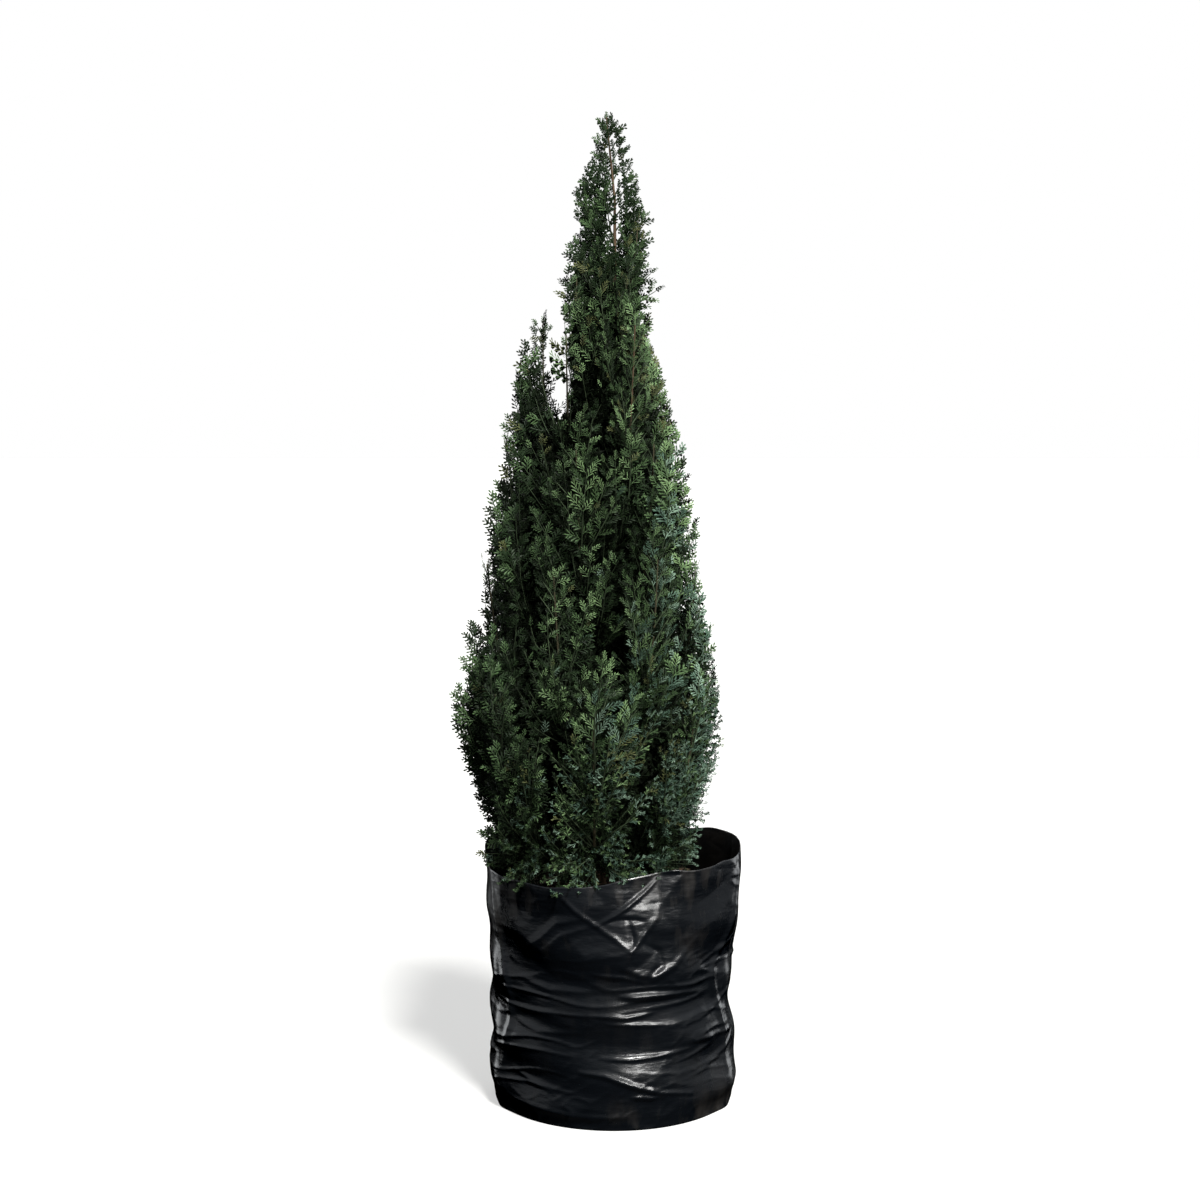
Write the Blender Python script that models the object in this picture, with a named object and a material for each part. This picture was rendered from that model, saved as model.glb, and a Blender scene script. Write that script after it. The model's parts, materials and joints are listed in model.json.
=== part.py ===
"""A Lawson cypress of about 1.2 m, growing in a black polythene nursery bag of 20 litres.

Metres, +Z up. The origin is the middle of the bag's flat underside, and -Y is the side that is seen
first. Every limb is one smooth path that leaves the trunk, turns up at its elbow and runs to a tip.
Its first stretch is the woody bough, and the rest is the stem of one mass of foliage.
"""

import math
import random

import bmesh
import bpy
import numpy as np
from mathutils import Vector

UP = Vector((0, 0, 1))
ACROSS = Vector((1, 0, 0))
SEED = 11
FIT_GAP = 0.0003  # between solids that touch

# The bag
BAG_SIDES = 36
FILM = 0.0015
FOOT_RADIUS = 0.1475
BELLY_RADIUS = 0.1525
WAIST_RADIUS = 0.1510
RIM_RADIUS = 0.1580
BELLY_HEIGHT = 0.030
WAIST_HEIGHT = 0.140
DENT_DEPTH = 0.0065  # the +X side leans in at the waist
DENT_HALF_HEIGHT = 0.075
RIM_HEIGHT = 0.300
RIM_MARKS = (  # degrees from the front towards +X, and the height of the slack rim there
    (-180, 0.300),
    (-140, 0.303),
    (-110, 0.309),
    (-90, 0.308),
    (-66, 0.290),
    (-45, 0.289),
    (-8, 0.288),
    (12, 0.303),
    (30, 0.306),
    (60, 0.307),
    (112, 0.309),
    (140, 0.302),
    (180, 0.300),
)
GUSSET_ANGLE = math.radians(26)  # from the side's middle to each of its two folds
GUSSET_FOLD = 0.0030
GUSSET_HALF_WIDTH = math.radians(7)
GUSSET_FLAT = 0.0015
SAG_DEPTH = 0.0016
SAG_AT_RIM = 0.35
SAG_WAVES = ((1.0, 3, 95), (0.7, 5, -61))  # share, lobes round the bag, radians a metre of height
BAG_HEIGHTS = (0.0, 0.012, 0.032, 0.056, 0.082, 0.110, 0.140, 0.172, 0.208, 0.246, 1.0)

# The potting mix and the trunk
SOIL_HEIGHT = BAG_HEIGHTS[-2]
SOIL_MOUND = 0.012
SOIL_DISC = 0.030
SOIL_RINGS = (0.30, 0.62, 1.0)  # shares of the way from the film to the disc under the trunk
TRUNK_SIDES = 8
TRUNK_RADIUS = 0.0105
TRUNK_TIP_RADIUS = 0.0015
TRUNK_TIP_HEIGHT = 1.085
FLARE_RADIUS = 0.0055
FLARE_HEIGHT = 0.030
TRUNK_RINGS = 15
TRUNK_CROWDING = 1.35  # over 1 sets the rings closer together near the foot
TRUNK_THINNING = 0.85
TRUNK_LEAN = (-0.024, 0.001)  # its X below its bend and above it
TRUNK_BEND = (0.62, 1.00)
CROWN_LEAN = (-0.027, -0.004)  # the crown's middle bends over later than the trunk does
CROWN_BEND = (0.86, 1.10)

# The limbs, tier by tier from the ground, and then the ones that stand by themselves. Angles run from
# +X towards +Y, in degrees. Each limb leaves the trunk at one height, runs level to its elbow's
# radius, and rises to its tip's radius at its top. Its first share is the bough.
LIMB_SIZES = ("leaves", "elbow", "tip", "top", "bough", "spread")
TIERS = {
    "skirt": (7, 18, (0.278, 0.108, 0.142, 0.500, 0.20, 0.059)),
    "lower": (7, 43, (0.385, 0.094, 0.128, 0.655, 0.24, 0.054)),
    "middle": (6, 15, (0.500, 0.068, 0.098, 0.805, 0.22, 0.050)),
    "collar": (3, 88, (0.760, 0.020, 0.040, 1.000, 0.00, 0.040)),
}
SINGLES = {
    "spire": (168, (0.560, 0.056, 0.066, 0.945, 0.42, 0.036)),
    "plume": (303, (0.590, 0.060, 0.084, 0.935, 0.24, 0.056)),
    "shoulder": (16, (0.640, 0.046, 0.076, 0.885, 0.22, 0.044)),
    "nape": (88, (0.610, 0.046, 0.070, 0.905, 0.22, 0.050)),
    "breast": (232, (0.620, 0.040, 0.054, 0.925, 0.22, 0.046)),
    "leader_left": (182, (0.945, 0.012, 0.030, 1.095, 0.00, 0.042)),
    "leader_right": (2, (0.930, 0.012, 0.034, 1.070, 0.00, 0.037)),
}
ANGLE_JITTER = 5.0
TIP_JITTER = 0.006
TOP_JITTER = 0.016
LEADER = dict(name="leader_top", angle=180, top=1.182, bough=0.00, spread=0.030)
LEADER_DRIFT = -0.004
OPEN_NAMES = ("leader", "spire")  # their sprays stand apart on both sides, with no heart
OPEN_LIMBS = dict(dense=0.0, step=0.018, turns=(4, 184, -24, 160), width=0.38)
SHOULDER_OUT = 0.75  # of the way from the elbow's radius to the tip's
SHOULDER_UP = 0.55  # of the limb's rise
BOUGH_RADIUS = 0.0036
BOUGH_TIP_RADIUS = 0.0022
BOUGH_SIDES = 5
BOUGH_RINGS = 4

# The foliage
STEM_TIP_RADIUS = 0.0006
STEM_PIECES = 10
CORE_SIDES = 7
CORE_STATIONS = (0.0, 0.08, 0.28, 0.54, 0.80, 0.965)
CORE_FILL = (0.0, 0.50, 1.0, 1.0, 0.70, 0.0)
CORE_SHARE = 0.62  # of the free space round the stem
REACH_STEPS = 14
MASS_END = 0.62  # a mass's reach at its foot, as a share of its spread
MASS_TAPER = 0.30
SPRAY_STEP = 0.028
SPRAY_STATIONS = (0.06, 0.93)
PLUME_TURNS = (6, 66, -60, -12, 98, -94, 34, -38)  # about the stem, in degrees from outward
TURN_JITTER = 10.0
RISE_JITTER = 0.05
SPRAY_RISE = (0.78, 0.92)  # how far a spray leans up its stem, at the stem's foot and its tip
UPTURN = 0.9  # sprays turn up towards the light, away from where their stem points
SPRAY_START = 0.34  # the twig's share of the way to the mass's edge
SPRAY_LENGTH = 1.42  # of the mass's reach
SIZE_RANGE = (0.9, 1.12)
SPRAY_WIDTH = 0.42  # of the spray's length
TWIG_RADIUS = 0.0011
TWIG_OVERLAP = 0.006
BLADE_HALF_THICKNESS = 0.0009
BLADE_DROOP = 0.10
BLADE_HEART = 0.42  # where its ridge is highest
BLADE_EDGE = ((0.47, 0.50), (0.45, 0.27), (0.77, 0.34))  # along, across: tooth, notch, tooth
CREST_START = 0.95  # of the path, where the spray at its tip is rooted
CREST_REACH = 1.35
SHRINKS = (1.0, 0.82, 0.66, 0.52)
CELL_GAP = 0.0012  # from the middle between two masses
LIMB_GAP = 0.0012
CROWN_REACH = 0.166  # the furthest a spray gets from the crown's middle
BAG_GAP = 0.0030

COLOURS = dict(
    film=((0.012, 0.013, 0.015), 0.28),
    soil=((0.045, 0.030, 0.020), 0.95),
    bark=((0.155, 0.085, 0.050), 0.85),
    leaf=((0.035, 0.085, 0.045), 0.60),
)


def clear_scene():
    for thing in list(bpy.data.objects):
        bpy.data.objects.remove(thing)


def finish_of(name):
    """The Principled material of that name, made once."""
    if name in bpy.data.materials:
        return bpy.data.materials[name]
    colour, roughness = COLOURS[name]
    made = bpy.data.materials.new(name)
    made.use_nodes = True
    shader = made.node_tree.nodes["Principled BSDF"]
    shader.inputs["Base Color"].default_value = (*colour, 1.0)
    shader.inputs["Roughness"].default_value = roughness
    shader.inputs["Metallic"].default_value = 0.0
    return made


def add_object(name, points, faces, finish, collection=None, smooth=False):
    mesh = bpy.data.meshes.new(name)
    mesh.from_pydata([tuple(point) for point in points], [], faces)
    body = bmesh.new()
    body.from_mesh(mesh)
    bmesh.ops.recalc_face_normals(body, faces=body.faces)
    body.to_mesh(mesh)
    body.free()
    mesh.materials.append(finish_of(finish))
    if smooth:
        mesh.shade_smooth()
        mesh.set_sharp_from_angle(angle=math.radians(50))
    made = bpy.data.objects.new(name, mesh)
    (collection or bpy.context.scene.collection).objects.link(made)
    return made


def smooth_step(value, low, high):
    share = min(1.0, max(0.0, (value - low) / (high - low)))
    return share * share * (3 - 2 * share)


def blend(first, second, share):
    return first * (1 - share) + second * share


def triangles_of(corners):
    """A quad as two triangles, always split the same way. A corner that repeats leaves one triangle."""
    first, second, third, fourth = corners
    halves = [(first, second, third), (first, third, fourth)]
    return [list(dict.fromkeys(half)) for half in halves]


def joined_rings(rings, close_first=True, close_last=True):
    """Points and faces of a tube through rings of equal length. A ring of one point is a tip."""
    points = []
    starts = []
    for ring in rings:
        starts.append(len(points))
        points.extend(ring)
    faces = []
    for index, (low, high) in enumerate(zip(rings, rings[1:])):
        sides = max(len(low), len(high))
        for side in range(sides):
            after = (side + 1) % sides
            corners = [
                starts[index] + side % len(low),
                starts[index] + after % len(low),
                starts[index + 1] + after % len(high),
                starts[index + 1] + side % len(high),
            ]
            faces += [face for face in triangles_of(corners) if len(face) == 3]
    if close_first and len(rings[0]) > 2:
        faces.append([starts[0] + side for side in reversed(range(len(rings[0])))])
    if close_last and len(rings[-1]) > 2:
        faces.append([starts[-1] + side for side in range(len(rings[-1]))])
    return points, faces


def square_to(direction, towards):
    """The unit vector square to a direction that lies nearest to another one."""
    flat = towards - direction * towards.dot(direction)
    return flat.normalized()


def ring_about(centre, direction, radius, sides, towards):
    across = square_to(direction, towards)
    other = direction.cross(across)
    turns = [2 * math.pi * side / sides for side in range(sides)]
    return [centre + (across * math.cos(turn) + other * math.sin(turn)) * radius for turn in turns]


# ---- the bag -------------------------------------------------------------------------------------


def rim_height(angle):
    bearings, heights = zip(*RIM_MARKS)
    bearing = (math.degrees(angle) + 270) % 360 - 180
    return float(np.interp(bearing, bearings, heights))


def gusset_offset(angle):
    """Two folds at each side of the bag, with a flatter panel between them."""
    turn = math.acos(abs(math.cos(angle)))  # from the nearer side's middle
    fold = GUSSET_FOLD * math.exp(-(((turn - GUSSET_ANGLE) / GUSSET_HALF_WIDTH) ** 2))
    flat = GUSSET_FLAT * smooth_step(GUSSET_ANGLE - turn, 0.0, GUSSET_ANGLE)
    return fold - flat


def sag_offset(angle, height):
    """The long slack rings of the film, stronger in the bag's lower half."""
    strength = 1 - smooth_step(height, WAIST_HEIGHT, RIM_HEIGHT)
    waves = sum(share * math.sin(lobes * angle + pitch * height) for share, lobes, pitch in SAG_WAVES)
    return SAG_DEPTH * waves * blend(SAG_AT_RIM, 1.0, strength) * smooth_step(height, 0.0, BELLY_HEIGHT)


def bag_radius(angle, height):
    radius = blend(FOOT_RADIUS, BELLY_RADIUS, smooth_step(height, 0.0, BELLY_HEIGHT))
    radius += (WAIST_RADIUS - BELLY_RADIUS) * smooth_step(height, BELLY_HEIGHT, WAIST_HEIGHT)
    radius += (RIM_RADIUS - WAIST_RADIUS) * smooth_step(height, WAIST_HEIGHT, RIM_HEIGHT)
    dent = max(0.0, math.cos(angle)) ** 2 * math.exp(-(((height - WAIST_HEIGHT) / DENT_HALF_HEIGHT) ** 2))
    radius -= DENT_DEPTH * dent
    return radius + gusset_offset(angle) + sag_offset(angle, height)


def bag_ring(height, inset, top=None):
    """One ring of the film. A height of 1 is the rim itself, and inset is measured inwards."""
    ring = []
    for side in range(BAG_SIDES):
        angle = 2 * math.pi * (side + 0.5) / BAG_SIDES
        level = rim_height(angle) if height == 1.0 else height
        radius = bag_radius(angle, level) - inset
        level = level if top is None else top
        ring.append(Vector((radius * math.cos(angle), radius * math.sin(angle), level)))
    return ring


def build_bag():
    outer = [bag_ring(height, 0.0) for height in BAG_HEIGHTS]
    inner = [bag_ring(height, FILM) for height in reversed(BAG_HEIGHTS[1:])]
    inner.append(bag_ring(BAG_HEIGHTS[0], FILM, top=FILM))
    points, faces = joined_rings(outer + inner)
    return add_object("bag", points, faces, "film", smooth=True)


def build_soil():
    """It fills the film up to a low mound, which is flat where the trunk stands on it."""
    inset = FILM + FIT_GAP
    rings = [bag_ring(BAG_HEIGHTS[0], inset, top=FILM + FIT_GAP)]
    rings += [bag_ring(height, inset) for height in BAG_HEIGHTS[1:-1]]
    wall = rings[-1]
    foot = trunk_point(SOIL_HEIGHT)
    for share in SOIL_RINGS:
        ring = []
        for side, point in enumerate(wall):
            angle = 2 * math.pi * (side + 0.5) / BAG_SIDES
            inner = foot + Vector((math.cos(angle), math.sin(angle), 0)) * SOIL_DISC
            spot = point.lerp(inner, share)
            spot.z = SOIL_HEIGHT + SOIL_MOUND * smooth_step(share, 0.0, 1.0)
            ring.append(spot)
        rings.append(ring)
    rings.reverse()  # its wall is then split into the same triangles as the film's inside
    points, faces = joined_rings(rings)
    return add_object("potting_mix", points, faces, "soil")


# ---- trunk and limbs -----------------------------------------------------------------------------


def trunk_foot():
    return SOIL_HEIGHT + SOIL_MOUND + FIT_GAP


def trunk_heights():
    steps = [step / (TRUNK_RINGS - 1) for step in range(TRUNK_RINGS)]
    return [blend(trunk_foot(), TRUNK_TIP_HEIGHT, step**TRUNK_CROWDING) for step in steps]


def from_ring_to_ring(height, rule):
    """A rule's value where the trunk is straight from each of its rings to the next."""
    heights = trunk_heights()
    pairs = list(zip(heights, heights[1:]))
    low, high = next((pair for pair in pairs if height <= pair[1]), pairs[-1])
    return blend(rule(low), rule(high), (height - low) / (high - low))


def trunk_lean(height):
    return blend(*TRUNK_LEAN, smooth_step(height, *TRUNK_BEND))


def trunk_taper(height):
    foot = trunk_foot()
    share = (height - foot) / (TRUNK_TIP_HEIGHT - foot)
    flare = FLARE_RADIUS * math.exp(-(height - foot) / FLARE_HEIGHT)
    return blend(TRUNK_RADIUS, TRUNK_TIP_RADIUS, share**TRUNK_THINNING) + flare


def trunk_point(height):
    return Vector((from_ring_to_ring(height, trunk_lean), 0.0, height))


def trunk_radius(height):
    return from_ring_to_ring(height, trunk_taper)


def bark_reach(height, outward):
    """How far the trunk's flat-sided bark comes out to meet a bough that leaves it in a direction."""
    aside = UP.cross(outward)
    flats = [2 * math.pi * (side + 0.5) / TRUNK_SIDES for side in range(TRUNK_SIDES)]
    normals = [Vector((math.cos(turn), math.sin(turn), 0)) for turn in flats]
    facing = [normal for normal in normals if normal.dot(outward) > 0.1]
    flat_radius = trunk_radius(height) * math.cos(math.pi / TRUNK_SIDES)
    reaches = []
    for step in (-1.0, -0.5, 0.0, 0.5, 1.0):
        shift = step * BOUGH_RADIUS
        reaches.append(min((flat_radius - shift * flat.dot(aside)) / flat.dot(outward) for flat in facing))
    return max(reaches)


def build_trunk():
    rings = []
    for height in trunk_heights():
        rings.append(ring_about(trunk_point(height), UP, trunk_radius(height), TRUNK_SIDES, ACROSS))
    points, faces = joined_rings(rings)
    return add_object("trunk", points, faces, "bark", smooth=True)


def limb_orders():
    """Every limb as a dictionary. Those of a tier vary in angle, tip and top by the seeded rule."""
    draw = random.Random(SEED)
    orders = []
    for tier, (count, first, sizes) in TIERS.items():
        for number in range(count):
            order = dict(zip(LIMB_SIZES, sizes), name=f"{tier}_{number + 1}")
            turn = first + 360 * number / count
            order["angle"] = turn + draw.uniform(-ANGLE_JITTER, ANGLE_JITTER)
            order["tip"] += draw.uniform(-TIP_JITTER, TIP_JITTER)
            order["top"] += draw.uniform(-TOP_JITTER, TOP_JITTER)
            orders.append(order)
    for name, (angle, sizes) in SINGLES.items():
        orders.append(dict(zip(LIMB_SIZES, sizes), name=name, angle=angle))
    orders.append(LEADER)
    return [{**OPEN_LIMBS, **order} if order["name"].startswith(OPEN_NAMES) else order for order in orders]


def leader_path(order):
    foot = trunk_point(TRUNK_TIP_HEIGHT) + Vector((0, 0, FIT_GAP))
    tip = Vector((foot.x + LEADER_DRIFT, 0, order["top"]))
    return foot, foot.lerp(tip, 1 / 3), foot.lerp(tip, 2 / 3), tip


def limb_path(order):
    """Control points of the cubic that a limb follows from the trunk's surface to its tip."""
    if "leaves" not in order:
        return leader_path(order)
    turn = math.radians(order["angle"])
    outward = Vector((math.cos(turn), math.sin(turn), 0))
    axis = trunk_point(order["leaves"])
    levels = [order["leaves"] + rise for rise in (-BOUGH_RADIUS, 0.0, BOUGH_RADIUS)]
    bark = max((trunk_point(level) - axis).dot(outward) + bark_reach(level, outward) for level in levels)
    start = axis + outward * (bark + FIT_GAP)
    height = order["top"] - order["leaves"]
    elbow = axis + outward * order["elbow"]
    shoulder = axis + outward * blend(order["elbow"], order["tip"], SHOULDER_OUT)
    shoulder += UP * (height * SHOULDER_UP)
    crown = Vector((blend(*CROWN_LEAN, smooth_step(order["top"], *CROWN_BEND)), 0, order["top"]))
    tip = crown + outward * order["tip"]
    return start, elbow, shoulder, tip


def along(path, share):
    start, elbow, shoulder, tip = path
    rest = 1 - share
    return (
        start * rest**3
        + elbow * 3 * rest**2 * share
        + shoulder * 3 * rest * share**2
        + tip * share**3
    )


def heading(path, share):
    start, elbow, shoulder, tip = path
    rest = 1 - share
    slope = (elbow - start) * rest**2 + (shoulder - elbow) * 2 * rest * share + (tip - shoulder) * share**2
    return slope.normalized()


def build_bough(order, path):
    rings = []
    for step in range(BOUGH_RINGS):
        share = order["bough"] * step / (BOUGH_RINGS - 1)
        radius = blend(BOUGH_RADIUS, BOUGH_TIP_RADIUS, step / (BOUGH_RINGS - 1))
        rings.append(ring_about(along(path, share), heading(path, share), radius, BOUGH_SIDES, UP))
    points, faces = joined_rings(rings)
    return add_object(f"bough_{order['name']}", points, faces, "bark", smooth=True)


# ---- room for each mass ------------------------------------------------------------------------


def segment_gaps(first, second, starts, ends):
    """Shortest distance from each edge first[i]-second[i] to each segment starts[j]-ends[j]."""
    u = (second - first)[:, None, :]
    v = (ends - starts)[None, :, :]
    w = first[:, None, :] - starts[None, :, :]
    uu = (u * u).sum(-1)
    vv = (v * v).sum(-1)
    uv = (u * v).sum(-1)
    uw = (u * w).sum(-1)
    vw = (v * w).sum(-1)
    spread = np.maximum(uu * vv - uv * uv, 1e-15)
    s = np.clip((uv * vw - vv * uw) / spread, 0, 1)
    t = np.clip((uv * s + vw) / np.maximum(vv, 1e-15), 0, 1)
    s = np.clip((uv * t - uw) / np.maximum(uu, 1e-15), 0, 1)
    apart = w + u * s[..., None] - v * t[..., None]
    return np.linalg.norm(apart, axis=-1)


def clear_of_bag(point):
    if point[2] < SOIL_HEIGHT + SOIL_MOUND + BAG_GAP:
        return False
    angle = math.atan2(point[1], point[0])
    if point[2] > rim_height(angle) + BAG_GAP:
        return True
    return math.hypot(point[0], point[1]) < bag_radius(angle, point[2]) - FILM - BAG_GAP


def within_reach(point):
    middle = blend(*CROWN_LEAN, smooth_step(point[2], *CROWN_BEND))
    return math.hypot(point[0] - middle, point[1]) < CROWN_REACH


class Room:
    """Which space belongs to which mass: the points nearest to its own stem, clear of wood and film."""

    def __init__(self, stems, limbs):
        self.owner = np.array([name for name, pieces in stems.items() for _ in pieces])
        self.starts = np.array([start for pieces in stems.values() for start, _ in pieces])
        self.ends = np.array([end for pieces in stems.values() for _, end in pieces])
        self.limb_owner = np.array([owner for owner, _, _, _ in limbs])
        self.limb_starts = np.array([start for _, start, _, _ in limbs])
        self.limb_ends = np.array([end for _, _, end, _ in limbs])
        self.limb_radii = np.array([radius for _, _, _, radius in limbs])

    def nearest_own(self, name, points):
        """Whether each point is nearer to this mass's stem than to any other, and how near it is."""
        gaps = segment_gaps(points, points, self.starts, self.ends)
        mine = self.owner == name
        own = gaps[:, mine].min(axis=1)
        return own < gaps[:, ~mine].min(axis=1) - 2 * CELL_GAP, own

    def encloses(self, name, points):
        """For the heart of a mass, which also stays nearer to its stem than to any wood."""
        inside, own = self.nearest_own(name, points)
        others = self.limb_owner != name
        wood = segment_gaps(points, points, self.limb_starts[others], self.limb_ends[others])
        inside &= own < (wood - self.limb_radii[others]).min(axis=1) - 2 * LIMB_GAP
        return inside & np.array([clear_of_bag(point) for point in points])

    def holds(self, name, points, edges):
        """For a twig or a spray, which may pass near wood but never touches it."""
        points = np.array(points)
        first = points[[start for start, _ in edges]]
        second = points[[end for _, end in edges]]
        samples = np.concatenate([points, (first + second) / 2, first * 0.75 + second * 0.25])
        if not all(clear_of_bag(point) and within_reach(point) for point in samples):
            return False
        if not self.nearest_own(name, samples)[0].all():
            return False
        wood = segment_gaps(first, second, self.limb_starts, self.limb_ends) - self.limb_radii
        return bool((wood > LIMB_GAP).all())


# ---- foliage ---------------------------------------------------------------------------------------


def outward_of(point):
    flat = point - trunk_point(point.z)
    flat.z = 0
    return flat.normalized() if flat.length > 1e-4 else Vector((-1, 0, 0))


def mass_profile(station):
    """How far a mass reaches from its stem, as a share of its spread: slim at both ends."""
    swell = math.sin(math.pi * min(1.0, station * 1.1))
    return blend(MASS_END, 1.0, swell) * (1 - MASS_TAPER * station)


def free_reach(room, name, centre, directions, limit):
    """How far each direction runs from a stem's point before it leaves the mass's space."""
    steps = np.linspace(0, limit, REACH_STEPS + 1)[1:]
    rays = np.array(directions)[:, None, :] * steps[None, :, None]
    points = np.array(centre) + rays.reshape(-1, 3)
    free = room.encloses(name, points).reshape(len(directions), REACH_STEPS)
    return np.cumprod(free, axis=1).sum(axis=1) * limit / REACH_STEPS


def core_rings(order, path, first, room):
    """The stem's foot, the dense heart of the mass and the stem's tip, as one lofted tube."""
    rings = []
    for station, fill in zip(CORE_STATIONS, CORE_FILL):
        share = blend(first, 1.0, station)
        centre = along(path, share)
        slim = blend(BOUGH_TIP_RADIUS, STEM_TIP_RADIUS, station)
        round_stem = ring_about(centre, heading(path, share), 1.0, CORE_SIDES, UP)
        directions = [spot - centre for spot in round_stem]
        limit = order["spread"] * mass_profile(station)
        reach = free_reach(room, order["name"], centre, directions, limit)
        radii = [max(slim, far * CORE_SHARE * fill * order.get("dense", 1.0)) for far in reach]
        rings.append([centre + direction * radius for direction, radius in zip(directions, radii)])
    return rings


def blade_shape(root, direction, across, length, width):
    """One spray: a toothed blade, thickest at its heart, that droops a little towards its tip."""
    up = across.cross(direction).normalized()

    def spot(far, side, lift=0.0):
        droop = up * (-BLADE_DROOP * length * far * far)
        return root + direction * (far * length) + across * (side * width) + up * lift + droop

    rim = [spot(0, 0)]
    rim += [spot(far, side) for far, side in BLADE_EDGE]
    rim.append(spot(1, 0))
    rim += [spot(far, -side) for far, side in reversed(BLADE_EDGE)]
    count = len(rim)
    points = rim + [spot(BLADE_HEART, 0, lift) for lift in (BLADE_HALF_THICKNESS, -BLADE_HALF_THICKNESS)]
    faces = []
    for side in range(count):
        after = (side + 1) % count
        faces.append((side, after, count))
        faces.append((after, side, count + 1))
    edges = [(side, (side + 1) % count) for side in range(count)]
    edges += [(side, count) for side in range(count)]
    return points, faces, edges


def twig_shape(root, direction, length, towards):
    base = ring_about(root, direction, TWIG_RADIUS, 3, towards)
    points, faces = joined_rings([base, [root + direction * length]])
    return points, faces, [(0, 3), (1, 3), (2, 3)]


def spray_parts(room, name, root, direction, across, twig, length, width):
    """A twig and the blade at its end, at the largest size the mass has room for, or nothing."""
    for shrink in SHRINKS:
        start = root + direction * (twig * shrink)
        blade = blade_shape(start, direction, across, length * shrink, width * shrink)
        stalk = twig_shape(root, direction, twig * shrink + TWIG_OVERLAP, across)
        if room.holds(name, *blade[::2]) and room.holds(name, *stalk[::2]):
            return [blade[:2], stalk[:2]]
    return []


def build_mass(order, path, first, room, draw):
    """One mass of foliage: its stem, heart, twigs and sprays fused into a single body."""
    name = order["name"]
    length = sum(math.dist(*piece) for piece in path_pieces(path, first, 1.0, STEM_PIECES))
    count = round(length / order.get("step", SPRAY_STEP))
    turns = order.get("turns", PLUME_TURNS)
    parts = []
    for number in range(count):
        station = blend(*SPRAY_STATIONS, number / (count - 1))
        share = blend(first, 1.0, station)
        root = along(path, share)
        stem = (heading(path, share) + UP * UPTURN).normalized()
        side = square_to(stem, outward_of(root))
        turn = math.radians(turns[number % len(turns)] + draw.uniform(-1, 1) * TURN_JITTER)
        away = side * math.cos(turn) + stem.cross(side) * math.sin(turn)
        rise = blend(*SPRAY_RISE, station) + draw.uniform(-1, 1) * RISE_JITTER
        direction = (stem * rise + away * (1 - rise * rise) ** 0.5).normalized()
        across = square_to(direction, stem.cross(away).cross(direction))
        reach = order["spread"] * mass_profile(station)
        size = reach * SPRAY_LENGTH * draw.uniform(*SIZE_RANGE)
        width = size * order.get("width", SPRAY_WIDTH)
        parts += spray_parts(room, name, root, direction, across, reach * SPRAY_START, size, width)
    crest, stem = along(path, CREST_START), heading(path, CREST_START)
    size = (along(path, 1.0) - crest).length * CREST_REACH
    across = square_to(stem, stem.cross(outward_of(crest)))
    blade = blade_shape(crest, stem, across, size, size * SPRAY_WIDTH)
    if room.holds(name, *blade[::2]):
        parts.append(blade[:2])
    points, faces = joined_rings(core_rings(order, path, first, room))
    mass = add_object(f"foliage_{name}", points, faces, "leaf")
    fuse(mass, parts)


def fuse(body, parts):
    """Joins the loose parts to the body with one Boolean union, and removes them."""
    pile = bpy.data.collections.new("pile")
    bpy.context.scene.collection.children.link(pile)
    for number, (points, faces) in enumerate(parts):
        add_object(f"piece_{number}", points, faces, "leaf", collection=pile)
    union = body.modifiers.new("union", "BOOLEAN")
    union.operation = "UNION"
    union.operand_type = "COLLECTION"
    union.collection = pile
    union.solver = "MANIFOLD"
    graph = bpy.context.evaluated_depsgraph_get()
    fused = bpy.data.meshes.new_from_object(body.evaluated_get(graph))
    body.modifiers.clear()
    body.data = fused
    for piece in list(pile.objects):
        bpy.data.objects.remove(piece)
    bpy.data.collections.remove(pile)


def mass_start(order, path):
    """The share of the path where the mass's stem begins: just past the tip of its bough."""
    if not order["bough"]:
        return 0.0
    step = 0.01
    speed = (along(path, order["bough"] + step) - along(path, order["bough"])).length / step
    return order["bough"] + FIT_GAP / speed


def path_pieces(path, first, last, count):
    spots = [tuple(along(path, blend(first, last, step / count))) for step in range(count + 1)]
    return list(zip(spots, spots[1:]))


def wood_pieces(orders, paths):
    """Trunk and boughs as (owner, start, end, radius) pieces."""
    levels = trunk_heights()
    found = [
        ("trunk", tuple(trunk_point(low)), tuple(trunk_point(high)), trunk_radius(low))
        for low, high in zip(levels, levels[1:])
    ]
    for order in orders:
        if order["bough"]:
            pieces = path_pieces(paths[order["name"]], 0.0, order["bough"], BOUGH_RINGS - 1)
            found += [(order["name"], start, end, BOUGH_RADIUS) for start, end in pieces]
    return found


def main():
    clear_scene()
    build_bag()
    build_soil()
    build_trunk()
    orders = limb_orders()
    paths = {order["name"]: limb_path(order) for order in orders}
    firsts = {order["name"]: mass_start(order, paths[order["name"]]) for order in orders}
    stems = {name: path_pieces(path, firsts[name], 1.0, STEM_PIECES) for name, path in paths.items()}
    room = Room(stems, wood_pieces(orders, paths))
    draw = random.Random(SEED + 1)
    for order in orders:
        name = order["name"]
        if order["bough"]:
            build_bough(order, paths[name])
        build_mass(order, paths[name], firsts[name], room, draw)


main()
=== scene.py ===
import json
import math
import random

import bmesh
import bpy
import numpy as np
from mathutils import Matrix, Vector, noise
from mathutils.geometry import delaunay_2d_cdt

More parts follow.
